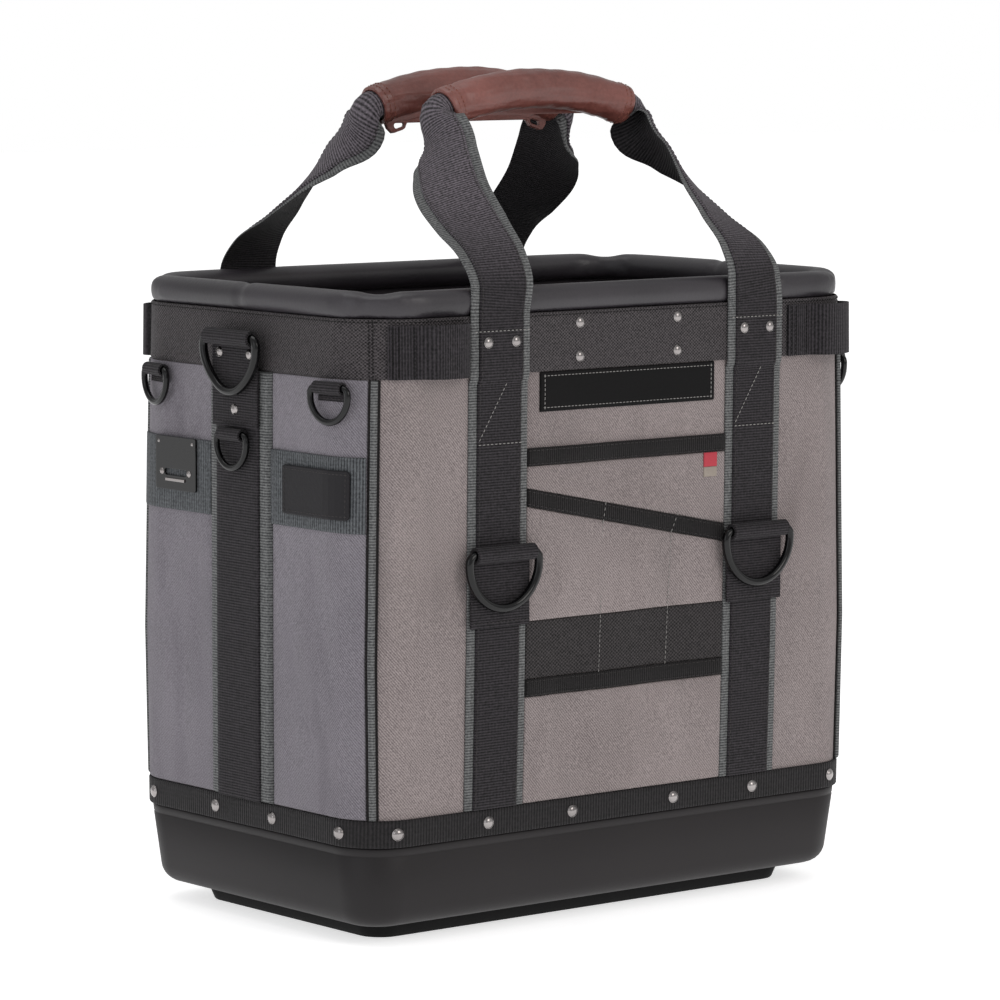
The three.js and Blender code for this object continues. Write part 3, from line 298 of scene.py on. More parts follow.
def webbing(name, dark, light, pitch=0.0019, along="v", roughness=0.78, wear_and_light=1.0, lining=None):
    """Webbing: ribs across the tape, paler by a factor above the rim, where painted light lifts it; may be
    lined.
    """
    cloth = Finish(name, Roughness=roughness, Specular_IOR_Level=0.22, Sheen_Weight=0.04)
    u, v = cloth.map()
    across, upward = (u, v) if along == "v" else (v, u)
    rib = (upward * (TURN / pitch)).sine() * 0.5 + 0.5
    loops = (across * (TURN / (pitch * 1.45))).sine() * 0.5 + 0.5
    fleck = cloth.noise(cloth.space(), 650.0, 2.0)
    height = rib * 0.86 + loops * 0.14
    # Painted light on the upper run of the handles: above the rim the colours are made brighter by a factor.
    painted_light_share = ((cloth.height() - PAINTED_LIGHT_ABOVE) * 16.0).share()
    shade = (height * 0.8 + (fleck - 0.5) * 1.4 + 0.06).share()
    painted_lit_colour = cloth.blend(shade, *(tuple(v * wear_and_light for v in colour) for colour in (dark, light)))
    colour = cloth.blend(painted_light_share, cloth.blend(shade, dark, light), painted_lit_colour)
    if lining:
        inner = cloth.node("ShaderNodeAttribute", {"attribute_name": "inner"}, output=2)
        colour = cloth.blend(inner, colour, cloth.blend(shade, *lining))
    return cloth.wear(Base_Color=colour, Normal=cloth.relief(height, 0.0005))


front_twill = twill("front_twill", tone(98, 90, 90), tone(160, 149, 148))
end_twill = twill("end_twill", tone(92, 88, 94), tone(140, 135, 142))
band_basket = basket("band_basket", tone(14, 13, 14), tone(84, 79, 81))
mesh_basket = basket("mesh_basket", tone(8, 7, 7), tone(64, 60, 61), 0.0031)
# The dark webbing gets strong painted light above the rim: its colours are 4.4 times as bright there.
dark_webbing = webbing("dark_webbing", tone(10, 9, 10), tone(57, 53, 57), wear_and_light=4.4)
grey_webbing = webbing("grey_webbing", tone(56, 57, 58), tone(122, 123, 123),
                       lining=(tone(11, 11, 12), tone(56, 53, 56)))
strip_webbing = webbing("strip_webbing", tone(40, 42, 45), tone(102, 105, 108), 0.0021, "u")
tape_webbing = webbing("tape_webbing", tone(7, 7, 7), tone(41, 38, 40), 0.0024, "u", 0.7)
binding_tape = webbing("binding_tape", tone(8, 7, 7), tone(31, 28, 29), 0.0018, "u")
print("woven finishes", len(bpy.data.materials))

# %% [markdown]
# The hard and smooth finishes: coated rim cloth, moulded tub, rubber skid, waxed leather whose
# colour changes slowly across it, gloss black wire, polished rivets and thread.

# %% Smooth finishes
def grained(name, dark, light, roughness, scale, depth, large=7.0, shine=0.2, folds=None, **uniform):
    """A surface with a fine grain and a slow change of colour, for plastic, rubber and leather."""
    made = Finish(name, Specular_IOR_Level=shine, **uniform)
    place = made.space()
    grain = made.noise(place, scale, 2.0, 0.6)
    slow = made.noise(place, large, 3.0, 0.6)
    shade = (slow - 0.5) * 1.5 + 0.5 + (grain - 0.5) * 0.5
    under = made.creases(*folds) if folds else None
    return made.wear(
        Base_Color=made.blend(shade.share(), dark, light),
        Roughness=(grain - 0.5) * 0.25 + (slow - 0.5) * 0.2 + roughness,
        Normal=made.relief(grain, depth, under),
    )


rim_cloth = grained("rim_cloth", tone(28, 26, 29), tone(56, 52, 57), 0.42, 520, 0.00012, shine=0.5)
lining_cloth = grained("lining_cloth", tone(54, 50, 54), tone(80, 75, 80), 0.7, 700, 0.0001)
tub_plastic = grained("tub_plastic", tone(28, 26, 27), tone(44, 41, 42), 0.5, 1100, 0.00006, 3.0, 0.22)
skid_rubber = grained("skid_rubber", tone(8, 8, 8), tone(20, 19, 20), 0.66, 800, 0.0001, 7.0, 0.15)
brown_leather = grained(
    "brown_leather", tone(78, 40, 34), tone(136, 82, 74), 0.38, 420, 0.00022, 14.0, 0.5,
    (0.005, (9.0, 70.0, 70.0)), Coat_Weight=0.12, Coat_Roughness=0.35,
)
patch_leather = grained("patch_leather", tone(16, 15, 17), tone(34, 32, 35), 0.5, 480, 0.00012)
label_cloth = grained("label_cloth", tone(10, 10, 10), tone(24, 23, 24), 0.75, 900, 0.0001, 7.0, 0.12)
gloss_black = grained(
    "gloss_black", tone(4, 4, 5), tone(9, 9, 10), 0.16, 300, 0.00001, 7.0, 0.3, Coat_Weight=0.1,
)
chrome = grained(
    "chrome", tone(126, 121, 120), tone(176, 171, 170), 0.2, 200, 0.00001, 7.0, 0.5, Metallic=1.0,
)
thread = grained("thread", tone(120, 118, 116), tone(160, 157, 154), 0.7, 900, 0.00005)
black_thread = grained("black_thread", tone(8, 8, 8), tone(18, 17, 17), 0.6, 900, 0.00005)
dark_thread = grained("dark_thread", tone(40, 38, 38), tone(72, 69, 69), 0.7, 900, 0.00005)
red_brown_thread = grained("red_brown_thread", tone(96, 52, 40), tone(150, 98, 84), 0.7, 900, 0.00005)
red_cloth = grained("red_cloth", tone(150, 45, 56), tone(186, 72, 82), 0.75, 900, 0.0001)
pale_cloth = grained("pale_cloth", tone(120, 112, 104), tone(160, 150, 140), 0.75, 900, 0.0001)
floor_paint = grained(
    "floor_paint", tone(244, 244, 245), tone(248, 248, 248), 0.6, 60, 0.00001,
    Emission_Color=(1.0, 1.0, 1.0), Emission_Strength=0.62,
)
floor.data.materials.append(floor_paint)
print("all finishes", len(bpy.data.materials))

# %% [markdown]
# The bag's body is a rounded box whose size and corners change a little with height. All cloth
# pieces lie on that one wall, so they share one function that turns a place along a side, a
# height and a distance off the wall into a point. The cloth also gives way a little between
# the seams, and every layer on it follows that same soft shape.

# %% The wall that the cloth pieces lie on
GAP, CLOTH = 0.3, 1.4
FOOT_Z, TAPE_Z, BAND_Z, SEAM_Z, RIM_Z = 69.0, 87.6, 382.0, 421.0, 440.3
SECTIONS = np.array([
    # height, half width, half depth, corner
    (69.0, 221.556, 135.24, 36.0),
    (192.2, 222.0, 138.04, 37.08),
    (368.2, 222.0, 140.0, 47.88),
    (421.0, 221.112, 140.0, 48.96),
])
SIDE_TURN = {"front": 0.0, "right": 90.0, "back": 180.0, "left": 270.0}
STRAP_AT, STRAP_HALF, FACE_HALF = 114.9, 25.4, 19.0


def body_at(z):
    return [np.interp(z, SECTIONS[:, 0], SECTIONS[:, i]) for i in (1, 2, 3)]


def half_run(side, z):
    """Half a side's length along the wall at a height, to the middle of each round corner."""
    hx, hy, r = body_at(z)
    return (hx if side in ("front", "back") else hy) - r + r * math.pi / 4


def window(x, low, high, ease):
    """1 between low and high, falling to 0 over the ease outside it."""
    rising = np.clip((x - low) / ease, 0, 1)
    falling = np.clip((high - x) / ease, 0, 1)
    return (rising * rising * (3 - 2 * rising)) * (falling * falling * (3 - 2 * falling))


def give(side, s, z):
    """How far the soft cloth stands off the CAD wall, in millimetres."""
    height = window(z, 105, 350, 30)
    if side in ("front", "back"):
        middle = window(s, -78, 78, 22)
        outer = window(np.abs(s), 150, 195, 18)
        wave = 0.7 * np.sin(s * 0.047 + z * 0.011 + 0.6) + 0.5 * np.sin(s * 0.083 - z * 0.021)
        return height * (middle * (wave - 0.5) + outer * (0.8 * np.sin(z * 0.028 + 1.0) - 0.5))
    panel = window(np.abs(s), 42, 86, 12) * window(z, 105, 262, 26)
    return panel * (0.6 * np.sin(z * 0.024 + s * 0.03) + 0.5 * np.sin(s * 0.09 + z * 0.012) - 0.7)


def on_wall(side, s, z, out):
    """Points off the wall of a side, in millimetres: s runs to the right as seen from outside."""
    s, z, out = np.broadcast_arrays(np.asarray(s, float), np.asarray(z, float), np.asarray(out, float))
    hx, hy, r = body_at(z)
    along, ahead = (hx, hy) if side in ("front", "back") else (hy, hx)
    angle = np.maximum(np.abs(s) - (along - r), 0) / r
    off = r + out + give(side, s, z)
    x = np.sign(s) * (np.minimum(np.abs(s), along - r) + off * np.sin(angle))
    depth = ahead - r + off * np.cos(angle)
    turn = math.radians(SIDE_TURN[side])
    return np.stack([
        x * math.cos(turn) + depth * math.sin(turn),
        x * math.sin(turn) - depth * math.cos(turn),
        z,
    ], axis=-1)


def facing(side, s, z):
    """The outward direction of the wall at a place."""
    p, q = on_wall(side, s, z, 0.0), on_wall(side, s, z, 1.0)
    return (q - p) / np.linalg.norm(q - p)


print("front wall at mid height", on_wall("front", 0, 245, 0).round(1))

# %% [markdown]
# Sheets of cloth are closed slabs: an outer face, an inner face and the hem that joins them.
# They could be flat grids with a Solidify modifier, but a slab written out in full keeps
# metres along the cloth as its UV map and lets the hem roll over at each edge.

# %% Meshes for cloth layers
def hand_over(obj, body, nodes):
    """Puts a finished piece on its body, in the place of the CAD nodes that it shows better."""
    scene.collection.objects.link(obj)
    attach(obj, body)
    if nodes:
        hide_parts(*nodes)
    return obj


def add_piece(name, points, faces, corner_uv, finish, nodes=(), smooth=True):
    """A mesh from points in millimetres, with its UV map in metres, finished and riding on root."""
    points = np.asarray(points, float)
    thirds = np.array([(f[0], f[i], f[i + 1]) for f in faces for i in range(1, len(f) - 1)])
    a, b, c = (points[thirds[:, i]] - points.mean(axis=0) for i in range(3))
    if np.einsum("ij,ij->i", a, np.cross(b, c)).sum() < 0:
        faces = [tuple(reversed(f)) for f in faces]
        corner_uv = [tuple(reversed(uv)) for uv in corner_uv]
    mesh = bpy.data.meshes.new(name)
    mesh.from_pydata((points * 0.001).tolist(), [], faces)
    layer = mesh.uv_layers.new(name="cloth")
    flat = np.array([pair for uv in corner_uv for pair in uv], np.float32) * 0.001
    layer.data.foreach_set("uv", flat.ravel())
    mesh.materials.append(finish)
    if smooth:
        mesh.shade_smooth()
    return hand_over(bpy.data.objects.new(name, mesh), "root", nodes)


def slab_faces(nu, nv, uv, wrap):
    """Faces and corner UVs of a slab: outer grid, then inner; wrap joins the last column to the first."""
    def outer(i, j):
        return (i % nu) * nv + j

    def inner(i, j):
        return nu * nv + outer(i, j)

    faces, corners = [], []
    columns = nu if wrap else nu - 1
    for i in range(columns):
        for j in range(nv - 1):
            square = [(i, j), (i + 1, j), (i + 1, j + 1), (i, j + 1)]
            faces.append(tuple(outer(*p) for p in square))
            corners.append(tuple(uv[p] for p in square))
            faces.append(tuple(inner(*p) for p in reversed(square)))
            corners.append(tuple(uv[p] for p in reversed(square)))
        faces.append((outer(i, 0), inner(i, 0), inner(i + 1, 0), outer(i + 1, 0)))
        corners.append((uv[i, 0], uv[i, 0], uv[i + 1, 0], uv[i + 1, 0]))
        k = nv - 1
        faces.append((outer(i, k), outer(i + 1, k), inner(i + 1, k), inner(i, k)))
        corners.append((uv[i, k], uv[i + 1, k], uv[i + 1, k], uv[i, k]))
    if not wrap:
        for j in range(nv - 1):
            faces.append((outer(0, j), outer(0, j + 1), inner(0, j + 1), inner(0, j)))
            corners.append((uv[0, j], uv[0, j + 1], uv[0, j + 1], uv[0, j]))
            k = nu - 1
            faces.append((outer(k, j), inner(k, j), inner(k, j + 1), outer(k, j + 1)))
            corners.append((uv[k, j], uv[k, j], uv[k, j + 1], uv[k, j + 1]))
    return faces, corners


def slab(name, outer, inner, uv, wrap, finish, nodes=(), slot=None):
    nu, nv = outer.shape[:2]
    faces, corners = slab_faces(nu, nv, uv, wrap)
    points = np.concatenate([outer.reshape(-1, 3), inner.reshape(-1, 3)])
    return add_piece(name, points, faces, corners, finish, nodes)


def spread(low, high, step, hem):
    """Places from low to high, closer together in the hem at each end."""
    count = max(2, round((high - low - 2 * hem) / step) + 1)
    inside = np.linspace(low + hem, high - hem, count)
    return np.concatenate([[low, low + 0.35 * hem], inside, [high - 0.35 * hem, high]])


def rolled(x, low, high, hem):
    """Quarter round towards both ends: 0 at an end, 1 past the hem."""
    share = np.clip(np.minimum(x - low, high - x) / hem, 0, 1)
    return np.sqrt(np.clip(1 - (1 - share) ** 2, 0, 1))


def layer(name, side, across, heights, inner, outer, finish, step=5.0, hem=1.0, crown=None, **rest):
    """A cloth layer on a side: heights may be functions of s, and crown adds to the outer face."""
    low, high = (h if callable(h) else (lambda s, h=h: h + 0 * s) for h in heights)
    s = spread(*across, step, hem)
    tall = float(high(np.array(sum(across) / 2)) - low(np.array(sum(across) / 2)))
    t = spread(0, tall, step, min(hem, tall / 4))
    S, T = np.meshgrid(s, t, indexing="ij")
    Z = low(S) + (high(S) - low(S)) * T / tall
    round_off = rolled(S, *across, hem) * rolled(T, 0, tall, min(hem, tall / 4))
    face = inner + (outer - inner) * (0.3 + 0.7 * round_off)
    if crown is not None:
        face = face + crown(S, Z) * round_off
    uv = np.stack([S, Z], axis=-1)
    return slab(name, on_wall(side, S, Z, face), on_wall(side, S, Z, inner), uv, False, finish, **rest)


def hoop_places(z, step=6.0):
    """Places round the whole wall: a list of (side, share of the half side) and the running length."""
    places, run = [], 0.0
    for side in SIDE_TURN:
        limit = half_run(side, z)
        count = round(2 * limit / step)
        for i in range(count):
            places.append((side, -1 + 2 * i / count, run + 2 * limit * i / count))
        run += 2 * limit
    return places, run


def hoop(name, heights, inner, outer, finish, hem=1.0, step=6.0, rise=5.0, crown=None, **rest):
    """A cloth layer that runs round the whole bag."""
    places, run = hoop_places(sum(heights) / 2, step)
    z = spread(*heights, rise, hem)
    edge = rolled(z, *heights, hem)
    faces, backs, uv = [], [], []
    for side, share, length in places:
        s = share * half_run(side, z)
        off = inner + (outer - inner) * (0.3 + 0.7 * edge)
        if crown is not None:
            off = off + crown(side, s, z) * edge
        faces.append(on_wall(side, s, z, off))
        backs.append(on_wall(side, s, z, inner))
        uv.append(np.stack([length + 0 * z, z], axis=-1))
    uv.append(np.stack([run + 0 * z, z], axis=-1))
    return slab(name, np.array(faces), np.array(backs), np.array(uv), True, finish, **rest)


# %% [markdown]
# The body is one lofted shell of twill with a dark lining inside. The basket band is sewn round
# its top under the rim, and the tape is riveted round its foot. The band's seam at the corner,
# which the photograph shows, gets its rows of stitches with the other seams.

# %% Body, lining, band and tape
body_cloth = hoop("body_cloth", (FOOT_Z + 0.4, SEAM_Z - 0.4), -1.3, 0.0, front_twill, rise=7,
                  nodes=["body_shell"], slot="front_cloth")
lining = hoop("lining", (FOOT_Z + 17.4, SEAM_Z - 0.4), -2.9, -1.5, lining_cloth, rise=12)
band = hoop("upper_band_cloth", (BAND_Z, SEAM_Z + 1.0), GAP, GAP + CLOTH, band_basket, hem=0.8,
            nodes=["upper_band"], slot="ballistic_cloth")
tape = hoop("base_tape_webbing", (FOOT_Z, TAPE_Z), GAP, GAP + 2.0, tape_webbing, hem=1.0, rise=3,
            nodes=["base_tape"], slot="webbing")
for obj in (body_cloth, lining, band, tape):
    print(obj.name, len(obj.data.polygons), "faces")

# %% [markdown]
# The front has its pockets between the straps: a plain field, the upper pocket with its binding,
# a second pocket whose edge slants down to the right, a mesh panel and the lower pocket. Each
# one is a layer of its own, a little fuller in the middle than at its sewn edges.

# %% Pockets of the front
FIELD = STRAP_AT - STRAP_HALF - GAP
UPPER_TOP, UPPER_CLOTH = 330.6, 318.3
MESH_TOP, MESH_FOOT, LOWER_CLOTH = 212.6, 173.1, 160.8


def slant(s):
    return TAPE_Z + 216.0 - 36.0 * (s + FIELD) / (2 * FIELD)


def fullness(low, high, most):
    """A soft crown for a pocket between two heights, with one slow fold."""
    def crown(s, z):
        middle = np.sin(np.pi * np.clip((z - low) / (high - low), 0, 1)) ** 0.8
        fold = 1 + 0.35 * np.sin(s * 0.06 + z * 0.012)
        return most * middle * fold * np.cos(np.pi * s / (2.2 * FIELD))
    return crown


across = (-FIELD, FIELD)


def pocket(word, heights, crown):
    """A pocket's cloth between the straps, with its crown's heights and fullness."""
    return layer(f"{word}_cloth", "front", across, heights, GAP, GAP + CLOTH, front_twill,
                 crown=fullness(*crown), nodes=[word], slot="front_cloth")


def binding(word, heights):
    """The thick tape along a pocket's open edge."""
    return layer(f"{word}_bound", "front", across, heights, GAP, GAP + 2.3, binding_tape,
                 nodes=[f"{word}_binding"], slot="binding_tape")


front_parts = [
    pocket("upper_pocket", (slant, UPPER_CLOTH), (262, 318, 0.8)),
    binding("upper_pocket", (UPPER_CLOTH + GAP, UPPER_TOP)),
    binding("slant_pocket", (lambda s: slant(s) - 12.3, lambda s: slant(s) - GAP)),
    pocket("slant_pocket", (MESH_TOP + GAP, lambda s: slant(s) - 12.6), (212, 280, 0.9)),
    layer("mesh_panel_cloth", "front", across, (MESH_FOOT + GAP, MESH_TOP), GAP, GAP + CLOTH,
          mesh_basket, nodes=["mesh_panel"], slot="ballistic_cloth"),
    binding("lower_pocket", (LOWER_CLOTH + GAP, MESH_FOOT)),
    pocket("lower_pocket", (TAPE_Z + GAP, LOWER_CLOTH), (88, 161, 1.0)),
    layer("label_cloth_patch", "front", (-78.5, 78.5), (BAND_Z - 27.3, BAND_Z - 0.3), GAP, GAP + 1.6,
          label_cloth, nodes=["label_patch"], slot="label_cloth"),
    layer("pocket_tab_cloth", "front", (69, 81), (UPPER_CLOTH - 10, UPPER_CLOTH), 2.0, 2.9, red_cloth,
          step=3, hem=0.4, nodes=["pocket_tab"], slot="tab_cloth"),
    layer("pocket_tab_foot", "front", (69, 81), (UPPER_CLOTH - 17, UPPER_CLOTH - 10), 2.0, 2.9,
          pale_cloth, step=3, hem=0.4),
]
print("front pieces", len(front_parts))

# %% [markdown]
# Each end has a raised column of webbing up its middle, a panel of greyer cloth on each side and
# a webbing strip across each panel. The panel's outer edge is closed by a pale piping on a wider
# dark strip, which is painted shade for the sewn grooves on both sides of it. The end on the
# photograph's side also carries a bare metal plate and a patch.

# %% End faces
COLUMN_HALF, PANEL_AT, STRIP_LOW, STRIP_HIGH = 33.5, 129.5, 279.6, 330.4
END_LOW, END_HIGH = TAPE_Z + GAP, BAND_Z - GAP


def sides_of(hand, a, b):
    return tuple(sorted((hand * a, hand * b)))


for side in ("left", "right"):
    for hand in (-1, 1):
        word = "far" if (hand < 0) == (side == "left") else "near"
        tag = f"{side}_{word}"
        layer(f"panel_{tag}", side, sides_of(hand, COLUMN_HALF + GAP, PANEL_AT - 4.2),
              (END_LOW, END_HIGH), GAP, GAP + CLOTH, end_twill,
              nodes=[f"end_panel_{tag}"], slot="end_cloth")
        # Painted shade: a dark strip under the piping, wider than it, stands for the shade in the sewn
        # grooves beside it.
        layer(f"piping_groove_shade_{tag}", side, sides_of(hand, PANEL_AT - 4.0, PANEL_AT + 4.0),
              (END_LOW, END_HIGH), GAP, GAP + 0.9, binding_tape, step=2, hem=0.8)
        layer(f"piping_{tag}", side, sides_of(hand, PANEL_AT - 2.3, PANEL_AT + 2.3),
              (END_LOW, END_HIGH), GAP + 0.9, GAP + 3.4, grey_webbing, step=1.2, hem=1.9)
        layer(f"strip_{tag}", side, sides_of(hand, COLUMN_HALF + GAP, PANEL_AT - 4.4),
              (STRIP_LOW, STRIP_HIGH), 2.0, 3.6, strip_webbing,
              nodes=[f"end_strip_{tag}"], slot="grey_webbing")
    layer(f"column_pad_{side}", side, (-COLUMN_HALF, COLUMN_HALF), (END_LOW, END_HIGH), GAP,
          GAP + 4.6, grey_webbing, hem=3.0, nodes=[f"end_column_{side}"], slot="webbing")
    layer(f"column_web_{side}", side, (-24.0, 24.0), (END_LOW, END_HIGH), 5.0, 6.5, dark_webbing)
print("end pieces made")

# %% [markdown]
# Geometry Nodes make everything that repeats or follows a path: ring wire, rivets, stitches, and
# the tub and skid pad, whose section is swept round a rounded rectangle. One class builds a tree
# with named inputs, ends it in Realize Instances and Set Material, and turns the result of the
# modifier into a plain mesh, because the export drops instances.

# %% Geometry Nodes recipes
class Recipe(Graph):
    """A Geometry Nodes tree with named inputs, and the pieces made with it."""

    def __init__(self, name, **inputs):
        tree = bpy.data.node_groups.new(name, "GeometryNodeTree")
        sockets = {"Geometry": "Geometry", **inputs, "Finish": "Material"}
        for label, kind in sockets.items():
            tree.interface.new_socket(name=label, in_out="INPUT", socket_type="NodeSocket" + kind)
        tree.interface.new_socket(name="Geometry", in_out="OUTPUT", socket_type="NodeSocketGeometry")
        super().__init__(tree)
        self.entry = tree.nodes.new("NodeGroupInput")
        self.exit = tree.nodes.new("NodeGroupOutput")

    def given(self, name):
        return Socket(self, self.entry.outputs[name])

    def end(self, geometry):
        real = self.node("GeometryNodeRealizeInstances", inputs={"Geometry": geometry})
        paint = {"Geometry": real, "Material": self.given("Finish")}
        self.feed(self.exit.inputs[0], self.node("GeometryNodeSetMaterial", inputs=paint))

    def make(self, name, points, edges, finish, body="root", nodes=(), slot=None, facing=None, **values):
        seed = bpy.data.meshes.new(name + "_seed")
        seed.from_pydata((np.asarray(points, float) * 0.001).tolist(), edges, [])
        if facing is not None:
            layer = seed.attributes.new("facing", "FLOAT_VECTOR", "POINT")
            layer.data.foreach_set("vector", np.asarray(facing, np.float32).ravel())
        carrier = bpy.data.objects.new(name + "_seed", seed)
        scene.collection.objects.link(carrier)
        modifier = carrier.modifiers.new(name, "NODES")
        modifier.node_group = self.tree
        given = {**values, "Finish": finish}
        for item in self.tree.interface.items_tree:
            if item.in_out == "INPUT" and item.name in given:
                modifier[item.identifier] = given[item.name]
        bpy.context.view_layer.update()
        evaluated = carrier.evaluated_get(bpy.context.evaluated_depsgraph_get())
        mesh = bpy.data.meshes.new_from_object(evaluated)
        mesh.name = name
        bpy.data.objects.remove(carrier)
        return hand_over(bpy.data.objects.new(name, mesh), body, nodes)


def closed(count):
    return [(i, (i + 1) % count) for i in range(count)]


# %% [markdown]
# The tub is moulded plastic: a wall that leans in a little towards a rounded foot, with a fine
# groove under its lip. The wall's section is swept round a rounded rectangle, and a plate with
# the same corners closes the bottom. Curve to Mesh turns a profile's y downwards here, so heights
# are given with their sign changed, and that turns the wall inside out, so its faces are flipped.
# The skid pad under it is the same recipe with a short, flared section.

# %% Swept tub and skid pad
sweep_tree = Recipe("rounded_sweep", Width="Float", Depth="Float", Corner="Float", Inset="Float",
                    Low="Float", Thick="Float")


def rounded_path(recipe, inset):
    """A rounded rectangle in the tree, a little smaller all round by an inset."""
    size = {"Width": recipe.given("Width") - inset * 2.0, "Height": recipe.given("Depth") - inset * 2.0}
    corner = (recipe.given("Corner") - inset).most(0.004)
    box = recipe.node("GeometryNodeCurvePrimitiveQuadrilateral", inputs=size)
    fillet = {"Curve": box, "Count": 14, "Radius": corner}
    return recipe.node("GeometryNodeFilletCurve", {"mode": "POLY"}, fillet)


section = sweep_tree.node("GeometryNodeMeshToCurve", inputs={"Mesh": sweep_tree.given("Geometry")})
wall = sweep_tree.node("GeometryNodeCurveToMesh", inputs={
    "Curve": rounded_path(sweep_tree, 0.0), "Profile Curve": section})
outward = sweep_tree.node("GeometryNodeFlipFaces", inputs={"Mesh": wall})
outline = rounded_path(sweep_tree, sweep_tree.given("Inset"))
sheet = sweep_tree.node("GeometryNodeFillCurve", {"mode": "NGONS"}, {"Curve": outline})
thick = sweep_tree.given("Thick")
lift = sweep_tree.node("ShaderNodeCombineXYZ", inputs={"Z": sweep_tree.given("Low")})
raised = sweep_tree.node("GeometryNodeTransform", inputs={"Geometry": sheet, "Translation": lift})
top = sweep_tree.node("GeometryNodeExtrudeMesh", {"mode": "FACES"}, {
    "Mesh": raised, "Offset Scale": thick, "Individual": False})
under = sweep_tree.node("GeometryNodeFlipFaces", inputs={"Mesh": raised})
both = sweep_tree.node("GeometryNodeJoinGeometry", inputs={0: outward})
sweep_tree.feed(both.socket.node.inputs[0], top)
sweep_tree.feed(both.socket.node.inputs[0], under)
smooth = sweep_tree.node("GeometryNodeSetShadeSmooth", inputs={"Geometry": both})
sweep_tree.end(smooth)


def arc(cx, cy, radius, start, stop, count):
    """Points of an arc, by angles in degrees."""
    angles = np.radians(np.linspace(start, stop, count))
    return [(cx + radius * math.cos(a), cy + radius * math.sin(a)) for a in angles]


TUB_X, TUB_Y, TUB_R = 221.556, 135.24, 36.0
tub_section = [
    (-3.3, 68.7), (-3.3, 85.7), (-7.3, 85.7), (-7.3, 68.0), (-13.0, 24.0), (-17.0, 17.3), (-24.0, 16.3),
    (-24.0, 12.4), *arc(-20.0, 26.6, 14.2, -90, -6, 8),
    (-0.85, 61.6), (-1.45, 62.2), (-1.45, 62.8), (-0.7, 63.4), (-0.3, 67.6), (-1.2, 68.7),
]
tub = sweep_tree.make(
    "moulded_tub", [(x, -y, 0) for x, y in tub_section], closed(len(tub_section)), tub_plastic,
    nodes=["base_tub"], slot="tub_plastic", Width=2 * TUB_X / 1000,
    Depth=2 * TUB_Y / 1000, Corner=TUB_R / 1000, Inset=0.021, Low=0.0124, Thick=0.0039)
skid_section = [
    (-12.0, 0.0), (-0.8, 0.0), (0.0, 0.8), (4.6, 11.4), (4.2, 12.0), (-12.0, 12.0),
]
skid = sweep_tree.make(
    "skid_plate", [(x, -y, 0) for x, y in skid_section], closed(len(skid_section)), skid_rubber,
    nodes=["skid_pad"], slot="skid_rubber", Width=0.372, Depth=0.197, Corner=0.018, Inset=0.008,
    Low=0.0, Thick=0.012)
for obj in (tub, skid):
    co = np.array([v.co for v in obj.data.vertices])
    print(obj.name, (co.min(0) * 1000).round(1), (co.max(0) * 1000).round(1), len(obj.data.polygons))

# %% [markdown]
# The two handles are each one long webbing strap with a narrower, darker one sewn on its face.
# They lie flat up the bag, leave it under the rim, turn through a right angle on the way up and
# curl into a tube inside the leather grip. A list of stations says where the strap is, which way
# its width points and how far it is curled; a smooth path runs through them.

# %% Run of a handle strap
GRIP_HALF, GRIP_Y, GRIP_CROWN, GRIP_RISE, GRIP_LEAD = 81.0, 39.0, 13.0, 116.0, 9.0
STATION_COUNT = 330
CURL = 2 * STRAP_HALF / math.radians(345)
STRAP_RUN = np.array([
    # rise, across, back, turn, curl as shares
    (0.0, 0.06, 0.0, 0.04, 0.0), (0.17, 0.1, 0.1, 0.14, 0.0), (0.34, 0.2, 0.34, 0.36, 0.0),
    (0.51, 0.3, 0.57, 0.52, 0.02), (0.7, 0.62, 0.77, 0.82, 0.1), (0.85, 0.96, 0.92, 1.0, 0.3),
    (0.935, 1.0, 0.98, 1.0, 0.6),
])


def grip_point(t):
    """Middle line of the front grip from its left mouth, -1, to its right mouth, 1, and its direction."""
    radius = (GRIP_HALF ** 2 + GRIP_CROWN ** 2) / (2 * GRIP_CROWN)
    angle = np.asarray(t, float) * math.asin(GRIP_HALF / radius)
    crown = RIM_Z + GRIP_RISE + GRIP_CROWN
    place = np.stack([radius * np.sin(angle), -GRIP_Y + 0 * angle, crown - radius * (1 - np.cos(angle))], -1)
    return place, np.stack([np.cos(angle), 0 * angle, -np.sin(angle)], -1)


def leg_stations(hand):
    rows = []
    for z, off in ((87.9, GAP), (192.2, GAP), (300.0, GAP), (376.0, GAP), (381.0, 2.3), (421.0, 2.3)):
        rows.append(((hand * STRAP_AT, -(body_at(z)[1] + off), z), (hand, 0, 0), 0.0))
    rim_y = -(body_at(SEAM_Z)[1] + 2.3)
    for rise, across, back, turn, curl in STRAP_RUN:
        angle = turn * math.pi / 2
        x = hand * (STRAP_AT + (GRIP_HALF + GRIP_LEAD - STRAP_AT) * across)
        y = rim_y + (-GRIP_Y - rim_y) * back
        rows.append(((x, y, RIM_Z + rise * GRIP_RISE), (hand * math.cos(angle), math.sin(angle), 0), curl))
    return rows


def steady(t, values, at):
    """Smooth curve through values that never overshoots them."""
    values = np.asarray(values, float)
    slopes = np.diff(values, axis=0) / np.diff(t)[:, None]
    a, b = slopes[:-1], slopes[1:]
    same = a * b > 0
    inner = np.where(same, 2 * a * b / np.where(same, a + b, 1), 0)
    tangent = np.concatenate([slopes[:1], inner, slopes[-1:]])
    i = np.clip(np.searchsorted(t, at) - 1, 0, len(t) - 2)
    width = (t[i + 1] - t[i])[:, None]
    x = ((at - t[i]) / (t[i + 1] - t[i]))[:, None]
    return ((2 * x ** 3 - 3 * x ** 2 + 1) * values[i] + (x ** 3 - 2 * x ** 2 + x) * width * tangent[i]
            + (3 * x ** 2 - 2 * x ** 3) * values[i + 1] + (x ** 3 - x ** 2) * width * tangent[i + 1])


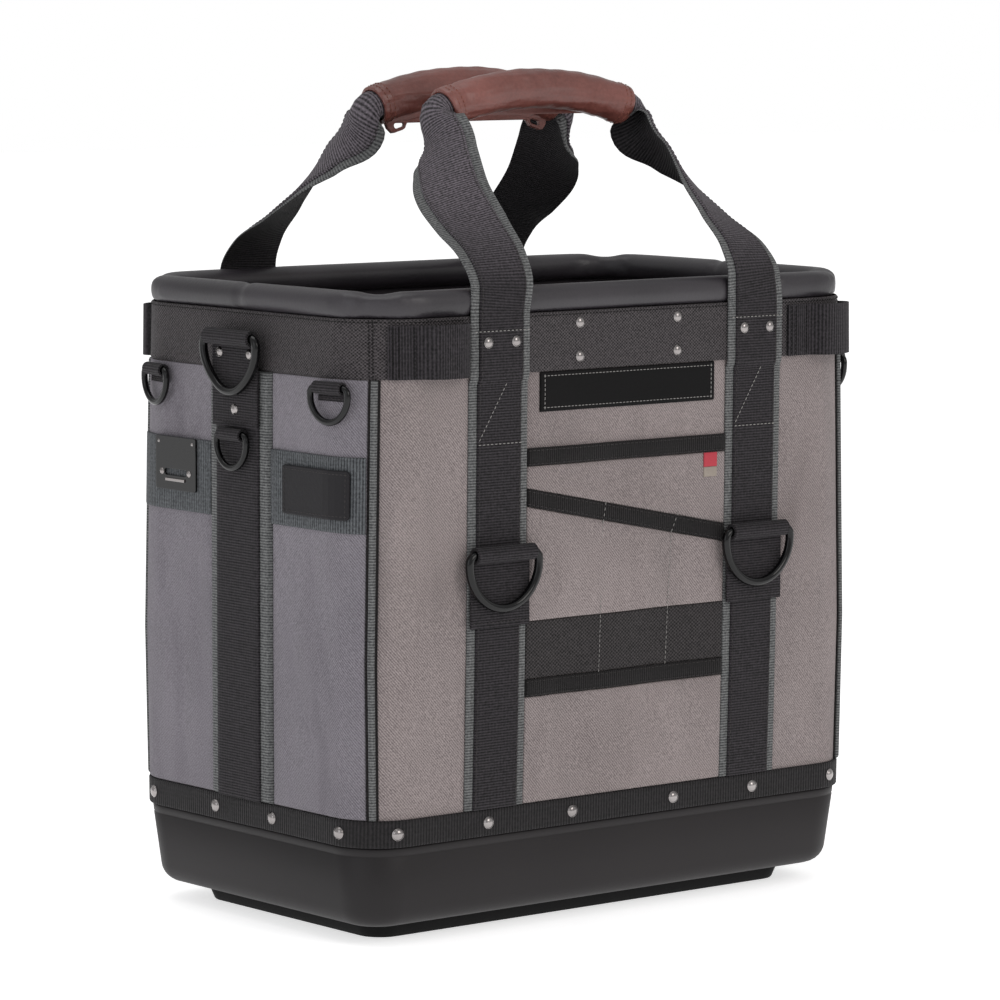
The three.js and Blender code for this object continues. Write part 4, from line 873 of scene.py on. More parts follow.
lead, mouth = 1 + 1.3 * GRIP_LEAD / (2 * GRIP_HALF), 1 + 0.4 * GRIP_LEAD / (2 * GRIP_HALF)
inside = [(-lead, 0.92), *((t, 1.0) for t in np.linspace(-mouth, mouth, 15)), (lead, 0.92)]
stations = leg_stations(-1) + [(tuple(grip_point(t)[0]), (0, 1, 0), c) for t, c in inside]
stations += leg_stations(1)[::-1]
stops = np.array([s[0] for s in stations])
run = np.concatenate([[0], np.cumsum(np.linalg.norm(np.diff(stops, axis=0), axis=1))])
along_run = np.linspace(0, run[-1], STATION_COUNT)
strap_place = steady(run, stops, along_run)
strap_wide = steady(run, [s[1] for s in stations], along_run)
strap_curl = np.clip(steady(run, [[s[2]] for s in stations], along_run)[:, 0], 0, 1)
heading = np.gradient(strap_place, axis=0)
heading /= np.linalg.norm(heading, axis=1)[:, None]
strap_wide -= heading * np.einsum("ij,ij->i", strap_wide, heading)[:, None]
strap_wide /= np.linalg.norm(strap_wide, axis=1)[:, None]
strap_out = np.cross(heading, strap_wide)
print("strap length", round(float(run[-1])), "mm")


def strap_point(i, u, h):
    """A point of the front strap: station i, u across it and h off its inner face."""
    curl = max(strap_curl[i], 1e-4)
    r = CURL / curl
    a = (r + h) * np.sin(u / r)
    o = (r + h) * np.cos(u / r) - r + curl * CURL
    return strap_place[i] + np.multiply.outer(a, strap_wide[i]) + np.multiply.outer(o, strap_out[i])


def half_turned(points):
    """The same points for the back of the bag: turned half round."""
    return np.asarray(points) * (-1, -1, 1)


def strap_layer(name, half, low, high, finish, turned, nodes=(), slot=None):
    u = spread(-half, half, 3.0, 1.1)
    edge = rolled(u, -half, half, 1.1)
    heights = low + (high - low) * (0.35 + 0.65 * edge)
    outer = np.array([strap_point(i, u, heights) for i in range(STATION_COUNT)])
    inner = np.array([strap_point(i, u, low + 0 * u) for i in range(STATION_COUNT)])
    uv = np.stack([np.broadcast_to(u, outer.shape[:2]), np.repeat(along_run[:, None], len(u), 1)], -1)
    if turned:
        outer, inner = half_turned(outer), half_turned(inner)
    strap = slab(name, outer, inner, uv, False, finish, nodes=nodes, slot=slot)
    second = strap.data.attributes.new("inner", "FLOAT", "POINT")
    count = len(strap.data.vertices)
    second.data.foreach_set("value", (np.arange(count) >= count // 2).astype(np.float32))
    return strap


for word, turned in (("front", False), ("back", True)):
    strap = strap_layer(f"strap_{word}", STRAP_HALF, 0.0, 1.4, grey_webbing, turned,
                        nodes=[f"handle_strap_{word}"], slot="webbing")
    face = strap_layer(f"strap_face_{word}", FACE_HALF, 1.45, 2.9, dark_webbing, turned)
    print(strap.name, len(strap.data.polygons), face.name, len(face.data.polygons))

# %% [markdown]
# A grip is a piece of leather folded round the curled strap and closed along a flap, which is
# deeper at both ends where a slot is cut for a snap. The sleeve is a swept tube with a collar
# sewn at each mouth; the flap is a cut sheet bent along the same arc.

# %% Leather grips
def cut_sheet(outline, holes, thickness, bevel=0.2):
    """Points and faces of a flat shape with holes, cut from a sheet of a thickness, in millimetres."""
    curve = bpy.data.curves.new("cut", "CURVE")
    curve.dimensions, curve.fill_mode = "2D", "BOTH"
    curve.extrude, curve.bevel_depth, curve.bevel_resolution = thickness / 2 - bevel, bevel, 1
    curve.offset = -bevel
    for ring in (outline, *holes):
        spline = curve.splines.new("POLY")
        spline.points.add(len(ring) - 1)
        spline.points.foreach_set("co", [v for x, y in ring for v in (x, y, 0, 1)])
        spline.use_cyclic_u = True
    obj = bpy.data.objects.new("cut", curve)
    scene.collection.objects.link(obj)
    bpy.context.view_layer.update()
    mesh = bpy.data.meshes.new_from_object(obj.evaluated_get(bpy.context.evaluated_depsgraph_get()))
    bm = bmesh.new()
    bm.from_mesh(mesh)
    bmesh.ops.remove_doubles(bm, verts=bm.verts, dist=1e-3)
    bmesh.ops.recalc_face_normals(bm, faces=bm.faces)
    points = np.array([v.co for v in bm.verts])
    faces = [tuple(v.index for v in f.verts) for f in bm.faces]
    bm.free()
    bpy.data.objects.remove(obj)
    bpy.data.meshes.remove(mesh)
    bpy.data.curves.remove(curve)
    return points, faces


def cut_piece(name, flat, bend, finish, measure=None, nodes=()):
    """A cut sheet put in place by bend, which maps its flat points into the row frame."""
    points, faces = flat
    uv = points[:, :2] if measure is None else measure(points)
    corners = [tuple(uv[i] for i in f) for f in faces]
    add_piece(name, bend(points), faces, corners, finish, nodes, smooth=False)


FLAP_DEEP, FLAP_SLIM, SLEEVE = 9.0, 4.6, 13.8


def sleeve(name, lean, turned, nodes):
    t = np.concatenate([[-1.0, -0.994], np.linspace(-0.985, 0.985, 60), [0.994, 1.0]])
    theta = np.linspace(0, 2 * np.pi, 48, endpoint=False) + math.radians(lean)
    place, along = grip_point(t)
    out = np.cross(along, (0, 1, 0))
    mouth_near = (1 - np.abs(t)) * GRIP_HALF
    collar = 0.45 * (mouth_near < 10.5) - 0.35 * np.exp(-((mouth_near - 11.5) / 0.9) ** 2)
    collar -= 0.8 * np.exp(-(mouth_near / 0.6) ** 2)
    wear_and_light = 0.22 * np.sin(7 * theta)[:, None] * np.sin(t * 9)[None] + 0.18 * np.sin(t * 31)[None]
    radius = SLEEVE + collar[None] + wear_and_light
    ring = lambda r: (place[None] + (r * np.cos(theta)[:, None])[..., None] * np.array((0, 1, 0))
                      + (r * np.sin(theta)[:, None])[..., None] * out[None])
    outer, inner = ring(radius), ring(np.full_like(radius, 11.6))
    length = np.concatenate([theta, [theta[0] + 2 * np.pi]]) * SLEEVE
    uv = np.stack(np.meshgrid(length, t * GRIP_HALF, indexing="ij"), -1)
    if turned:
        outer, inner = half_turned(outer), half_turned(inner)
    slab(name, outer, inner, uv, True, brown_leather, nodes=nodes, slot="leather")


def flap(name, lean, turned):
    reach, tab = 0.95 * GRIP_HALF, 20.0
    xs = np.linspace(-reach, reach, 61)
    ease = np.clip((np.abs(xs) - (reach - tab)) / 6, 0, 1)
    deep = FLAP_SLIM + (FLAP_DEEP - FLAP_SLIM) * ease * ease * (3 - 2 * ease)
    deep -= np.clip((np.abs(xs) - reach + 5) / 5, 0, 1) ** 3 * 5
    outline = [(x, -0.9) for x in xs] + [(x, d) for x, d in zip(xs[::-1], deep[::-1])]
    slots = [arc(h * 66 + 3, 4.8, 1.9, -90, 90, 6) + arc(h * 66 - 3, 4.8, 1.9, 90, 270, 6) for h in (-1, 1)]
    a = math.radians(lean)

    def bend(points):
        place, along = grip_point(points[:, 0] / GRIP_HALF)
        out = np.cross(along, (0, 1, 0))
        depth = SLEEVE + points[:, 1]
        across = depth * math.cos(a) - points[:, 2] * math.sin(a)
        upward = depth * math.sin(a) + points[:, 2] * math.cos(a)
        bent = place + across[:, None] * np.array((0, 1, 0)) + upward[:, None] * out
        return half_turned(bent) if turned else bent

    cut_piece(name, cut_sheet(outline, slots, 3.2, 0.5), bend, brown_leather)


for word, lean, turned in (("front", -25, False), ("back", -80, True)):
    sleeve(f"grip_sleeve_{word}", lean, turned, [f"grip_{word}"])
    flap(f"grip_flap_{word}", lean, turned)
print("grips made")

# %% [markdown]
# Each D-ring is steel wire bent to a straight bar, two short legs and a round foot, painted gloss
# black. It turns on its bar, so every ring rides on its own body, and the joint's place and axis
# say where it hangs. A circle is swept along the bent path in Geometry Nodes.

# %% Ring wire
LARGE = {"half": 30.0, "wire": 6.0, "leg": 7.0, "web": 50.8, "wall": 2.2, "patch": 1.6}
SMALL = {"half": 16.95, "wire": 4.6, "leg": 6.0, "web": 25.4, "wall": 1.6, "patch": 1.3}
DROPS = {"strap": 50.0, "end": 61.0, "tag": 8.0, "side": 9.0}
wire_tree = Recipe("ring_wire", Wire="Float")
path = wire_tree.node("GeometryNodeMeshToCurve", inputs={"Mesh": wire_tree.given("Geometry")})
circle = wire_tree.node("GeometryNodeCurvePrimitiveCircle", inputs={
    "Resolution": 18, "Radius": wire_tree.given("Wire") * 0.5})
swept = wire_tree.node("GeometryNodeCurveToMesh", inputs={"Curve": path, "Profile Curve": circle})
wire_tree.end(wire_tree.node("GeometryNodeSetShadeSmooth", inputs={"Geometry": swept}))


def ring_frame(joint):
    """Maps (along the bar, up, out) of a ring into the row frame."""
    middle = np.array(joint["pos_m"]) * 1000
    along = -np.array(joint["axis"])
    out = np.cross(along, (0, 0, 1))
    return lambda a, u, o: middle + np.multiply.outer(a, along) + np.multiply.outer(u, (0, 0, 1.0)) + (
        np.multiply.outer(o, out))


def bent_wire(half, leg, bend, pull):
    """Path of a ring: bar, rounded corners, legs and foot; pull narrows the foot towards a V."""
    corner = arc(half - bend, -bend, bend, 90, 0, 6)
    foot = arc(0, -leg, half, 0, -90, 14)
    foot = [(x * (1 - pull * (1 - (x / half)) * x / half), y) for x, y in foot]
    side = corner + foot
    return [(-x, y) for x, y in side[:-1]] + side[::-1]


def ring_size(name):
    """The kind of a ring, from its name, and the sizes that it shares with its loop."""
    kind = name.split("_")[0]
    return kind, LARGE if kind in ("strap", "end") else SMALL


rings = {j["child"]: j for j in frame["joints"]}
for name, joint in rings.items():
    kind, size = ring_size(name)
    pull = 0.5 if kind == "end" else 0.1
    flat = np.array(bent_wire(size["half"], size["leg"], size["wire"] * 0.9, pull))
    points = ring_frame(joint)(flat[:, 0], flat[:, 1], 0 * flat[:, 0])
    wire_tree.make(f"wire_{name}", points, closed(len(points)), gloss_black, body=name,
                   nodes=[name], slot="black_metal", Wire=size["wire"] / 1000)
print("rings", len(rings))

# %% [markdown]
# A ring's loop is one piece of webbing folded over the bar and sewn down below it. It is cut as
# its side view, a roll with a hole and a flat tail, as thick as the webbing is wide.

# %% Ring loops
BAR_SPACE = 0.4
for name, joint in rings.items():
    kind, size = ring_size(name)
    tunnel = size["wire"] / 2 + BAR_SPACE
    roll, drop = tunnel + size["wall"], DROPS[kind]
    neck = size["patch"] - roll
    meet = math.degrees(math.asin(neck / roll))
    outline = [(-roll, -drop), (neck, -drop), (neck, -roll * math.cos(math.radians(meet)) - 1.2)]
    outline += arc(0, 0, roll, meet - 84, 180, 22)
    hole = arc(0, 0, tunnel, 0, 345, 20)
    spot = ring_frame(joint)

    def bend(p, spot=spot):
        return spot(p[:, 2], p[:, 1], p[:, 0])

    def measure(p, roll=roll):
        turned = np.arctan2(p[:, 0], -p[:, 1]) * roll
        return np.stack([p[:, 2], np.where(p[:, 1] > -roll, turned, p[:, 1])], -1)

    node = name.replace("_ring", "_loop")
    cut_piece(f"web_{node}", cut_sheet(outline, [hole], size["web"], 0.4), bend, dark_webbing, measure,
              nodes=[node])
print("loops", len(rings))

# %% [markdown]
# Beside each strap a short length of webbing is sewn flat at its left end and stands off the bag
# at its right end, for a hammer or a hook. Its path in plan is offset to both sides for the
# webbing's thickness, and follows the rounded corner.

# %% Side loops
def web_path(points, half, samples=44):
    """Outline of webbing that follows a smooth path through points, in plan."""
    points = np.array(points, float)
    t = np.concatenate([[0], np.cumsum(np.linalg.norm(np.diff(points, axis=0), axis=1))])
    at = np.linspace(0, t[-1], samples)
    line = steady(t, points, at)
    for _ in range(3):
        line[1:-1] = (line[:-2] + 2 * line[1:-1] + line[2:]) / 4
    side = np.gradient(line, axis=0)
    side = np.stack([-side[:, 1], side[:, 0]], -1) / np.linalg.norm(side, axis=1)[:, None]
    return [tuple(p) for p in line + side * half] + [tuple(p) for p in (line - side * half)[::-1]]


LOOP_PATH = [(0, 0.9), (10, 0.9), (19, 0.9), (24, 4.0), (29, 9.0), (36, 10.2), (48, 10.4), (54, 9.4),
             (57.4, 6.2), (58.1, 2.4), (58.1, 0.6)]
LOOP_STARTS, LOOP_Z, LOOP_WEB = {"left": -203, "right": 146}, 400, 1.7
for word in ("front", "back"):
    for hand, start in LOOP_STARTS.items():
        outline = web_path([(start + x, 2.0 + y) for x, y in LOOP_PATH], LOOP_WEB / 2)

        def bend(p, word=word):
            return on_wall(word, p[:, 0], LOOP_Z + p[:, 2], p[:, 1])

        cut_piece(f"side_web_{word}_{hand}", cut_sheet(outline, [], 36.0, 0.35), bend, dark_webbing,
                  lambda p: np.stack([p[:, 2], p[:, 0]], -1), nodes=[f"side_loop_{word}_{hand}"])
print("side loops made")

# %% [markdown]
# The rim is a foam roll wrapped in smooth coated cloth. A swept section alone looks like a hose,
# so the roll is remeshed evenly and inflated for a moment as real cloth, which rounds it between
# its seams. How far a point may move is capped. Then it is drawn in again where it is pinched at
# the corners and lies flatter under the straps.

# %% Padded rim roll
ROLL_OUT, ROLL_UP, ROLL_MIDDLE, ROLL_Z = 9.9, 9.3, -6.5, 430.8


def strap_press(side, s):
    if side not in ("front", "back"):
        return 0 * s
    return window(np.abs(s), STRAP_AT - 26, STRAP_AT + 26, 7) * 3.2


places = hoop_places(SEAM_Z, 7.0)[0]
theta = np.linspace(0, 2 * np.pi, 18, endpoint=False)


def squarer(wave, below, above):
    """A circle's wave made squarer by a power under 1, with another power for the underside."""
    return np.sign(wave) * np.abs(wave) ** np.where(np.sin(theta) < 0, below, above)


wide = ROLL_OUT * squarer(np.cos(theta), 0.25, 0.5)
tall = ROLL_UP * squarer(np.sin(theta), 0.7, 0.75)
rows = []
for side, share, _ in places:
    s = share * half_run(side, SEAM_Z)
    out = np.minimum(wide, ROLL_OUT - strap_press(side, np.array(s)))
    at = on_wall(side, s, SEAM_Z, ROLL_MIDDLE + out)
    at[:, 2] = ROLL_Z + tall
    rows.append(at)
rows = np.array(rows)
nu, nv = rows.shape[:2]
faces = [tuple(a % nu * nv + b % nv for a, b in ((i, j), (i + 1, j), (i + 1, j + 1), (i, j + 1)))
         for i in range(nu) for j in range(nv)]
roll_mesh = bpy.data.meshes.new("rim_padding")
roll_mesh.from_pydata((rows.reshape(-1, 3) * 0.001).tolist(), [], faces)
rim = bpy.data.objects.new("rim_padding", roll_mesh)
scene.collection.objects.link(rim)


def settle(obj, modifier):
    """Applies a modifier by taking the evaluated mesh."""
    bpy.context.view_layer.update()
    mesh = bpy.data.meshes.new_from_object(obj.evaluated_get(bpy.context.evaluated_depsgraph_get()))
    obj.modifiers.remove(modifier)
    old, obj.data = obj.data, mesh
    bpy.data.meshes.remove(old)


def inflate(obj, voxel, pressure, cap, frames=20):
    """Remeshes a closed piece, blows it up as cloth and keeps the result, no point moving past the cap."""
    remesh = obj.modifiers.new("remesh", "REMESH")
    remesh.mode, remesh.voxel_size = "VOXEL", voxel
    settle(obj, remesh)
    rest = np.array([v.co for v in obj.data.vertices])
    cloth = obj.modifiers.new("cloth", "CLOTH")
    cloth.settings.use_pressure = True
    cloth.settings.uniform_pressure_force = pressure
    cloth.settings.effector_weights.gravity = 0
    cloth.point_cache.frame_end = frames
    for number in range(1, frames + 1):
        scene.frame_set(number)
    settle(obj, cloth)
    scene.frame_set(1)
    moved = np.array([v.co for v in obj.data.vertices]) - rest
    length = np.maximum(np.linalg.norm(moved, axis=1), 1e-9)
    moved *= np.minimum(1, cap / length)[:, None]
    obj.data.vertices.foreach_set("co", (rest + moved).ravel())
    print(obj.name, "moved up to", round(float(length.max()) * 1000, 1), "mm, capped at", cap * 1000)


inflate(rim, 0.004, 9.0, 0.003)
co = np.array([v.co for v in rim.data.vertices]) * 1000


def from_corner(x, y):
    """How far each point is outside the flat part of a corner's pinch."""
    return np.maximum(np.hypot(co[:, 0] - x, co[:, 1] - y) - 8, 0)


def from_end(x, y):
    """How far each point is from the seam at the middle of one end."""
    return np.abs(co[:, 1] - y) + np.where(np.sign(co[:, 0]) == np.sign(x), 0, 1e3)


hx, hy, r = body_at(SEAM_Z)
pinches = [(i * (hx - r * 0.29), j * (hy - r * 0.29), from_corner, 2.4, 6.0)
           for i in (-1, 1) for j in (-1, 1)]
pinches += [(i * hx, 4.0, from_end, 3.2, 1.9) for i in (-1, 1)]
for x, y, distance, deep, reach in pinches:
    pull = deep * np.exp(-(distance(x, y) / reach) ** 2)
    middle_out = np.array((x, y)) / np.hypot(x, y)
    inward = (co[:, :2] - np.array((x, y)) * (1 + ROLL_MIDDLE / np.hypot(x, y))) @ middle_out
    co[:, :2] -= (np.clip(inward / 9, -1, 1) * pull)[:, None] * middle_out
    co[:, 2] -= np.clip((co[:, 2] - ROLL_Z) / 9, 0, 1) * pull
rim.data.vertices.foreach_set("co", (co * 0.001).ravel())
soften = rim.modifiers.new("soften", "SUBSURF")
soften.levels = soften.render_levels = 1
settle(rim, soften)
rim.data.shade_smooth()
rim.data.materials.clear()
rim.data.materials.append(rim_cloth)
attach(rim, "root")
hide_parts("rim_roll")
print("rim", len(rim.data.polygons), "faces")

# %% [markdown]
# The visible end carries a gloss plate with a slot and a bar and, on the other side of the
# column, a stitched patch that follows the rounded corner. Both are bare.

# %% Plate and patch
ON_STRIP = 4.0
PLATE_S, PLATE_Z, PATCH_S, PATCH_Z = -73, 312, 83, 305


def on_end(s0, z0, off):
    """Bend for a flat piece that lies on the left end: x along, y up, z out."""
    base = on_wall("left", s0, z0, 0.0)
    out = facing("left", s0, z0)
    along = np.cross((0, 0, 1), out)
    return lambda p: base + np.multiply.outer(p[:, 0], along) + np.multiply.outer(p[:, 1], (0, 0, 1.0)) + (
        np.multiply.outer(p[:, 2] + off, out))


def rounded_box(w, h, r, count=4):
    x, y = w / 2 - r, h / 2 - r
    return (arc(x, -y, r, -90, 0, count) + arc(x, y, r, 0, 90, count)
            + arc(-x, y, r, 90, 180, count) + arc(-x, -y, r, 180, 270, count))


def slot_ring(x, y, w, h, count=7):
    r = h / 2
    return arc(x + w / 2 - r, y, r, -90, 90, count) + arc(x - w / 2 + r, y, r, 90, 270, count)


cut_piece("plate", cut_sheet(rounded_box(47, 37, 1.6), [slot_ring(0, -37 / 6, 26, 4.5)], 1.5, 0.3),
          on_end(PLATE_S, PLATE_Z, ON_STRIP + 0.75), gloss_black, nodes=["metal_plate"])
bar = [(-11, -1.1), (11, -1.1), (11, 1.1), (-11, 1.1)]
cut_piece("plate_bar", cut_sheet(bar, [], 1.2, 0.4), on_end(PLATE_S, PLATE_Z - 11.4, ON_STRIP + 2.0),
          chrome)


def gridded(flat, step=5.0):
    """The same sheet with a cut line every step along it, so that it can follow a round corner."""
    points, faces = flat
    bm = bmesh.new()
    verts = [bm.verts.new(p) for p in points]
    for face in faces:
        bm.faces.new([verts[i] for i in face])
    for x in np.arange(points[:, 0].min() + step, points[:, 0].max(), step):
        whole = bm.verts[:] + bm.edges[:] + bm.faces[:]
        bmesh.ops.bisect_plane(bm, geom=whole, plane_co=(x, 0, 0), plane_no=(1, 0, 0))
    bm.verts.index_update()
    cut = np.array([v.co for v in bm.verts]), [tuple(v.index for v in f.verts) for f in bm.faces]
    bm.free()
    return cut


def patch_bend(p):
    return on_wall("left", PATCH_S + p[:, 0], PATCH_Z + p[:, 1], ON_STRIP + 1.2 + p[:, 2])


cut_piece("patch", gridded(cut_sheet(rounded_box(65, 33, 2.5), [], 2.2, 0.7)), patch_bend,
          patch_leather, nodes=["end_patch"])

# %% [markdown]
# Rivets repeat all over the bag, so Geometry Nodes put one dome on a thin flange at each place and
# turn it to face outwards. Each dome has a few dozen faces.

# %% Rivets
rivet_tree = Recipe("dome_rivet", Across="Float", Rise="Float")
half = rivet_tree.given("Across") * 0.5
ball = rivet_tree.node("GeometryNodeMeshUVSphere", inputs={"Segments": 14, "Rings": 8, "Radius": 1.0})
squash_size = rivet_tree.node("ShaderNodeCombineXYZ", inputs={
    "X": half * 0.94, "Y": half * 0.94, "Z": rivet_tree.given("Rise")})
dome = rivet_tree.node("GeometryNodeTransform", inputs={"Geometry": ball, "Scale": squash_size})
flange = rivet_tree.node("GeometryNodeMeshCylinder", inputs={
    "Vertices": 18, "Radius": half, "Depth": rivet_tree.given("Rise") * 0.5})
pair = rivet_tree.node("GeometryNodeJoinGeometry", inputs={0: dome})
rivet_tree.feed(pair.socket.node.inputs[0], flange)
round_pair = rivet_tree.node("GeometryNodeSetShadeSmooth", inputs={"Geometry": pair})
aim = rivet_tree.node("GeometryNodeInputNamedAttribute", {"data_type": "FLOAT_VECTOR"}, {"Name": "facing"})
turned_out = rivet_tree.node("FunctionNodeAlignRotationToVector", {"axis": "Z"}, {"Vector": aim})
rivet_tree.end(rivet_tree.node("GeometryNodeInstanceOnPoints", inputs={
    "Points": rivet_tree.given("Geometry"), "Instance": round_pair, "Rotation": turned_out}))


def rivets(name, spots, across, rise):
    points = [on_wall(side, s, z, off) for side, s, z, off in spots]
    facings = [facing(side, s, z) for side, s, z, off in spots]
    rivet_tree.make(name, points, [], chrome, facing=facings, slot="chrome",
                    Across=across / 1000, Rise=rise / 1000)


TAPE_MIDDLE, PATCH_BAR_Z = 78.3, 404
tape_spots = [(side, s, TAPE_MIDDLE, 2.3) for side in ("front", "back")
              for s in (-196, -120, -46, 46, 120, 196)]
tape_spots += [(side, s, TAPE_MIDDLE, 2.3) for side in ("left", "right") for s in (-106, -32.5, 32.5, 106)]
band_spots = [(side, s, z, 1.7) for side in ("front", "back") for s in (-44, 44) for z in (391, 414)]
strap_spots = [(side, at + d, 404, 5.2) for side in ("front", "back") for at in (-STRAP_AT, STRAP_AT)
               for d in (-12, 12)]
rivets("tape_rivets", tape_spots, 8.5, 2.2)
rivets("band_rivets", band_spots, 7.6, 1.9)
rivets("strap_rivets", strap_spots, 7.6, 1.9)
wall_there = body_at(PATCH_BAR_Z)[0]
column_off = rings["end_left_ring"]["pos_m"][0] * -1000 - wall_there - 4.0
patch_spots = [(side, s, PATCH_BAR_Z - drop, column_off + wall_there - body_at(PATCH_BAR_Z - drop)[0])
               for side in ("left", "right") for s, drop in ((-17, 11), (17, 11), (0, 49))]
rivets("patch_rivets", patch_spots, 7.2, 1.8)
plate_big = [("left", PLATE_S + x, PLATE_Z - 6.2, ON_STRIP + 1.5) for x in (-15.8, 15.8)]
plate_small = [("left", PLATE_S + x, PLATE_Z + 14.5, ON_STRIP + 1.5) for x in (-19.6, 19.6)]
rivets("plate_rivets", plate_big, 4.6, 1.4)
rivets("plate_pins", plate_small, 2.4, 0.8)
print("rivets", len(tape_spots) + len(band_spots) + len(strap_spots) + len(patch_spots))

# %% [markdown]
# Seams are rows of single stitches. Each row is a polyline just above the cloth; Geometry Nodes
# resample it by the stitch's pitch and lay one small bead of thread along it at each step.

# %% Stitches
stitch_tree = Recipe("stitch_row", Pitch="Float", Long="Float", Thick="Float")
line = stitch_tree.node("GeometryNodeMeshToCurve", inputs={"Mesh": stitch_tree.given("Geometry")})
stepped = stitch_tree.node("GeometryNodeResampleCurve", {"mode": "LENGTH"}, {
    "Curve": line, "Length": stitch_tree.given("Pitch")})
bead = stitch_tree.node("GeometryNodeMeshUVSphere", inputs={"Segments": 6, "Rings": 4, "Radius": 0.5})
bead_size = stitch_tree.node("ShaderNodeCombineXYZ", inputs={
    "X": stitch_tree.given("Thick"), "Y": stitch_tree.given("Thick"), "Z": stitch_tree.given("Long")})
long_bead = stitch_tree.node("GeometryNodeTransform", inputs={"Geometry": bead, "Scale": bead_size})
soft_bead = stitch_tree.node("GeometryNodeSetShadeSmooth", inputs={"Geometry": long_bead})
heading_field = stitch_tree.node("GeometryNodeInputTangent")
lay = stitch_tree.node("FunctionNodeAlignRotationToVector", {"axis": "Z"}, {"Vector": heading_field})
stitch_tree.end(stitch_tree.node("GeometryNodeInstanceOnPoints", inputs={
    "Points": stepped, "Instance": soft_bead, "Rotation": lay}))


def sewn(name, rows, finish, pitch, long, thick):
    """Rows of stitches: each row is a list of points in millimetres."""
    points, edges = [], []
    for row in rows:
        start = len(points)
        points.extend(np.asarray(row, float).tolist())
        edges.extend((start + i, start + i + 1) for i in range(len(row) - 1))
    obj = stitch_tree.make(name, points, edges, finish, slot="thread",
                           Pitch=pitch / 1000, Long=long / 1000, Thick=thick / 1000)
    print(name, len(rows), "rows", len(obj.data.polygons), "faces")


def row(side, a, b, off, count=16):
    """A straight row on a side's wall from (s, z) to (s, z)."""
    t = np.linspace(0, 1, count)
    return on_wall(side, a[0] + (b[0] - a[0]) * t, a[1] + (b[1] - a[1]) * t, off)


def strap_row(u, low, high, h=3.0):
    """A row up the front strap's left leg at u across it, between two places along its run."""
    picks = np.where((along_run >= low) & (along_run <= high))[0]
    return np.array([strap_point(i, np.array([u]), h)[0] for i in picks])


def both_sides(rows):
    return [np.asarray(r) for r in rows] + [half_turned(r) for r in rows]


pale_rows, edge_rows = [], []
for at in (-STRAP_AT, STRAP_AT):
    left, right_edge = at - 17.5, at + 17.5
    pale_rows += [row("front", (left - 5, 411.5), (right_edge + 5, 411.5), 5.4),
                  row("front", (left, 335.5), (right_edge, 335.5), 3.4)]
    pale_rows.append(row("front", (right_edge, 396), (left, 339), 3.4, 30))
for u in (-17.4, 17.4):
    edge_rows.append(strap_row(u, 2, run[-1] / 2 - 95))
    edge_rows.append(strap_row(u, run[-1] / 2 + 95, run[-1] - 2))
sewn("strap_bar_stitches", both_sides(pale_rows), thread, 3.4, 2.4, 0.7)
sewn("strap_edge_stitches", both_sides(edge_rows), dark_thread, 4.0, 3.0, 0.7)
slant_rows = [row("front", (-20, 289), (-22, 277), 2.9, 4), row("front", (-22, 276), (-25, 174), 2.3, 14),
              row("front", (46, 277), (41, 266), 2.9, 4), row("front", (41, 265), (37, 174), 2.3, 14)]
sewn("pocket_stitches", slant_rows, thread, 3.4, 2.5, 0.55)
border = [row("front", (-75, 357.5), (75, 357.5), 2.0), row("front", (75, 357.5), (75, 379), 2.0, 6),
          row("front", (75, 379), (-75, 379), 2.0), row("front", (-75, 379), (-75, 357.5), 2.0, 6)]
sewn("label_stitches", border, thread, 3.0, 2.4, 0.6)
binding_rows = [row("front", (-88, z), (88, z), 2.7) for z in (319.9, 329.0, 162.4, 171.5)]
binding_rows += [row("front", (-88, slant(-88) + d), (88, slant(88) + d), 2.7) for d in (-1.9, -10.7)]
sewn("binding_stitches", binding_rows, dark_thread, 3.6, 2.6, 0.5)
tail_rows = []
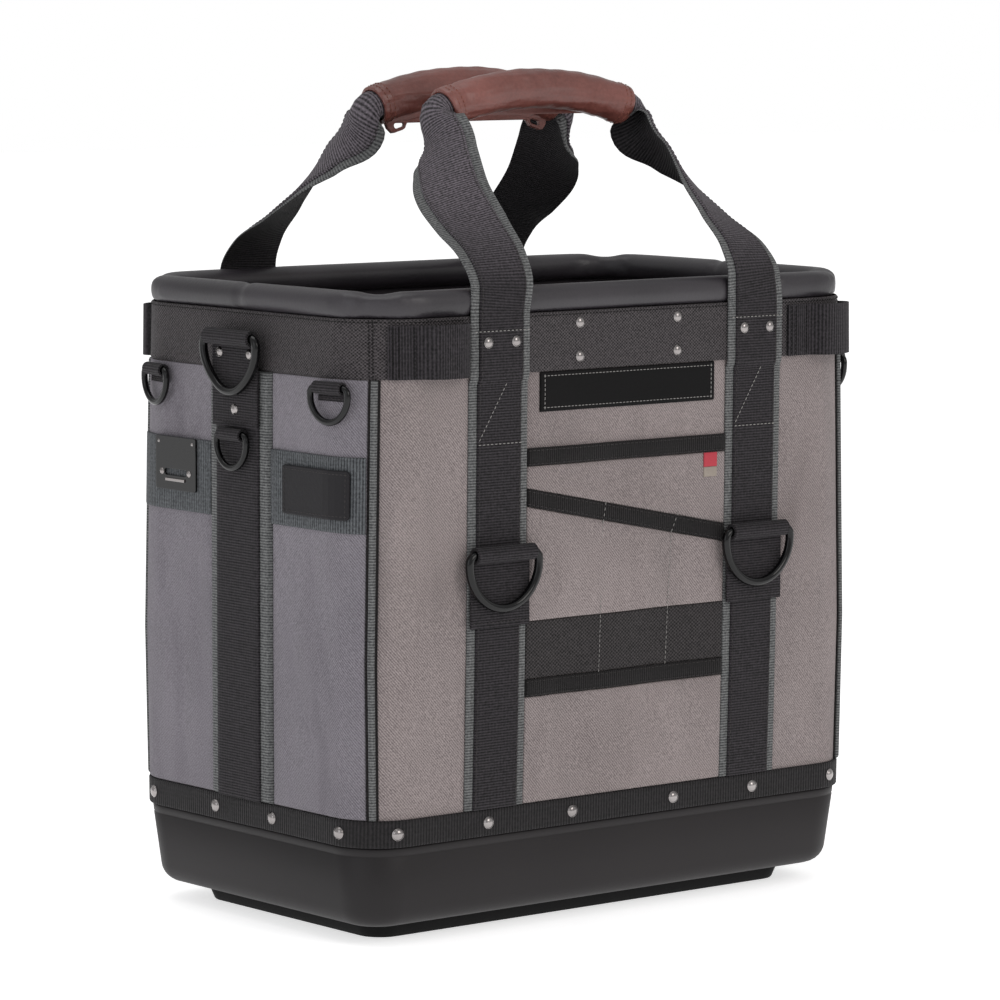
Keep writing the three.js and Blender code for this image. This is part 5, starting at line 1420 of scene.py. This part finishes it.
for name, joint in rings.items():
    kind, size = ring_size(name)
    if kind == "tag":
        continue
    spot, reach = ring_frame(joint), size["web"] / 2 - 2.5
    face = size["patch"] - (size["wire"] / 2 + BAR_SPACE + size["wall"]) + 0.15
    low = -DROPS[kind] + (3.5 if size is LARGE else 1.8)
    a = np.linspace(-reach, reach, 8)
    tail_rows.append(spot(a, 0 * a + low, 0 * a + face))
sewn("loop_tail_stitches", tail_rows, dark_thread, 3.2, 2.3, 0.6)
patch_rows, t = [], np.linspace(0, 1, 10)
for x0, y0, x1, y1 in ((-30, -14, 30, -14), (30, -14, 30, 14), (30, 14, -30, 14), (-30, 14, -30, -14)):
    flat = np.stack([x0 + (x1 - x0) * t, y0 + (y1 - y0) * t, 0 * t + 1.15], -1)
    patch_rows.append(patch_bend(flat))
sewn("patch_stitches", patch_rows, dark_thread, 3.2, 2.4, 0.55)
loop_rows = [row(side, (start + d, 384), (start + d, 416), 3.95, 8) for side in ("front", "back")
             for start in LOOP_STARTS.values() for d in (3, 7, 17)]
sewn("side_loop_stitches", loop_rows, black_thread, 2.6, 2.3, 1.0)
seam = [row(side, (s, 384), (s, 420), 1.9, 8) for side in ("front", "back")
        for s in (-212.5, -215, 212.5, 215)]
sewn("band_corner_stitches", seam, black_thread, 2.6, 2.3, 0.9)
rim_row = [on_wall(side, share * half_run(side, SEAM_Z), SEAM_Z - 1.2, 1.9) for side, share, _ in places]
sewn("rim_seam_stitches", [rim_row + rim_row[:1]], black_thread, 3.0, 2.4, 0.7)

# %% [markdown]
# The grips are sewn with two rows round each collar.

# %% Grip stitches
def grip_rows(lean, turned):
    rows = []
    for hand in (-1, 1):
        for inset in (4.0, 8.0):
            t = hand * (1 - inset / GRIP_HALF)
            place, along = grip_point(t)
            out = np.cross(along, (0, 1, 0))
            angle = np.radians(np.linspace(lean + 14, lean + 346, 30))
            r = SLEEVE + 0.6
            rows.append(place + np.multiply.outer(r * np.cos(angle), (0, 1.0, 0))
                        + np.multiply.outer(r * np.sin(angle), out))
    return [half_turned(r) for r in rows] if turned else rows


sewn("grip_stitches", grip_rows(-25, False) + grip_rows(-80, True), red_brown_thread, 3.2, 2.4, 0.6)
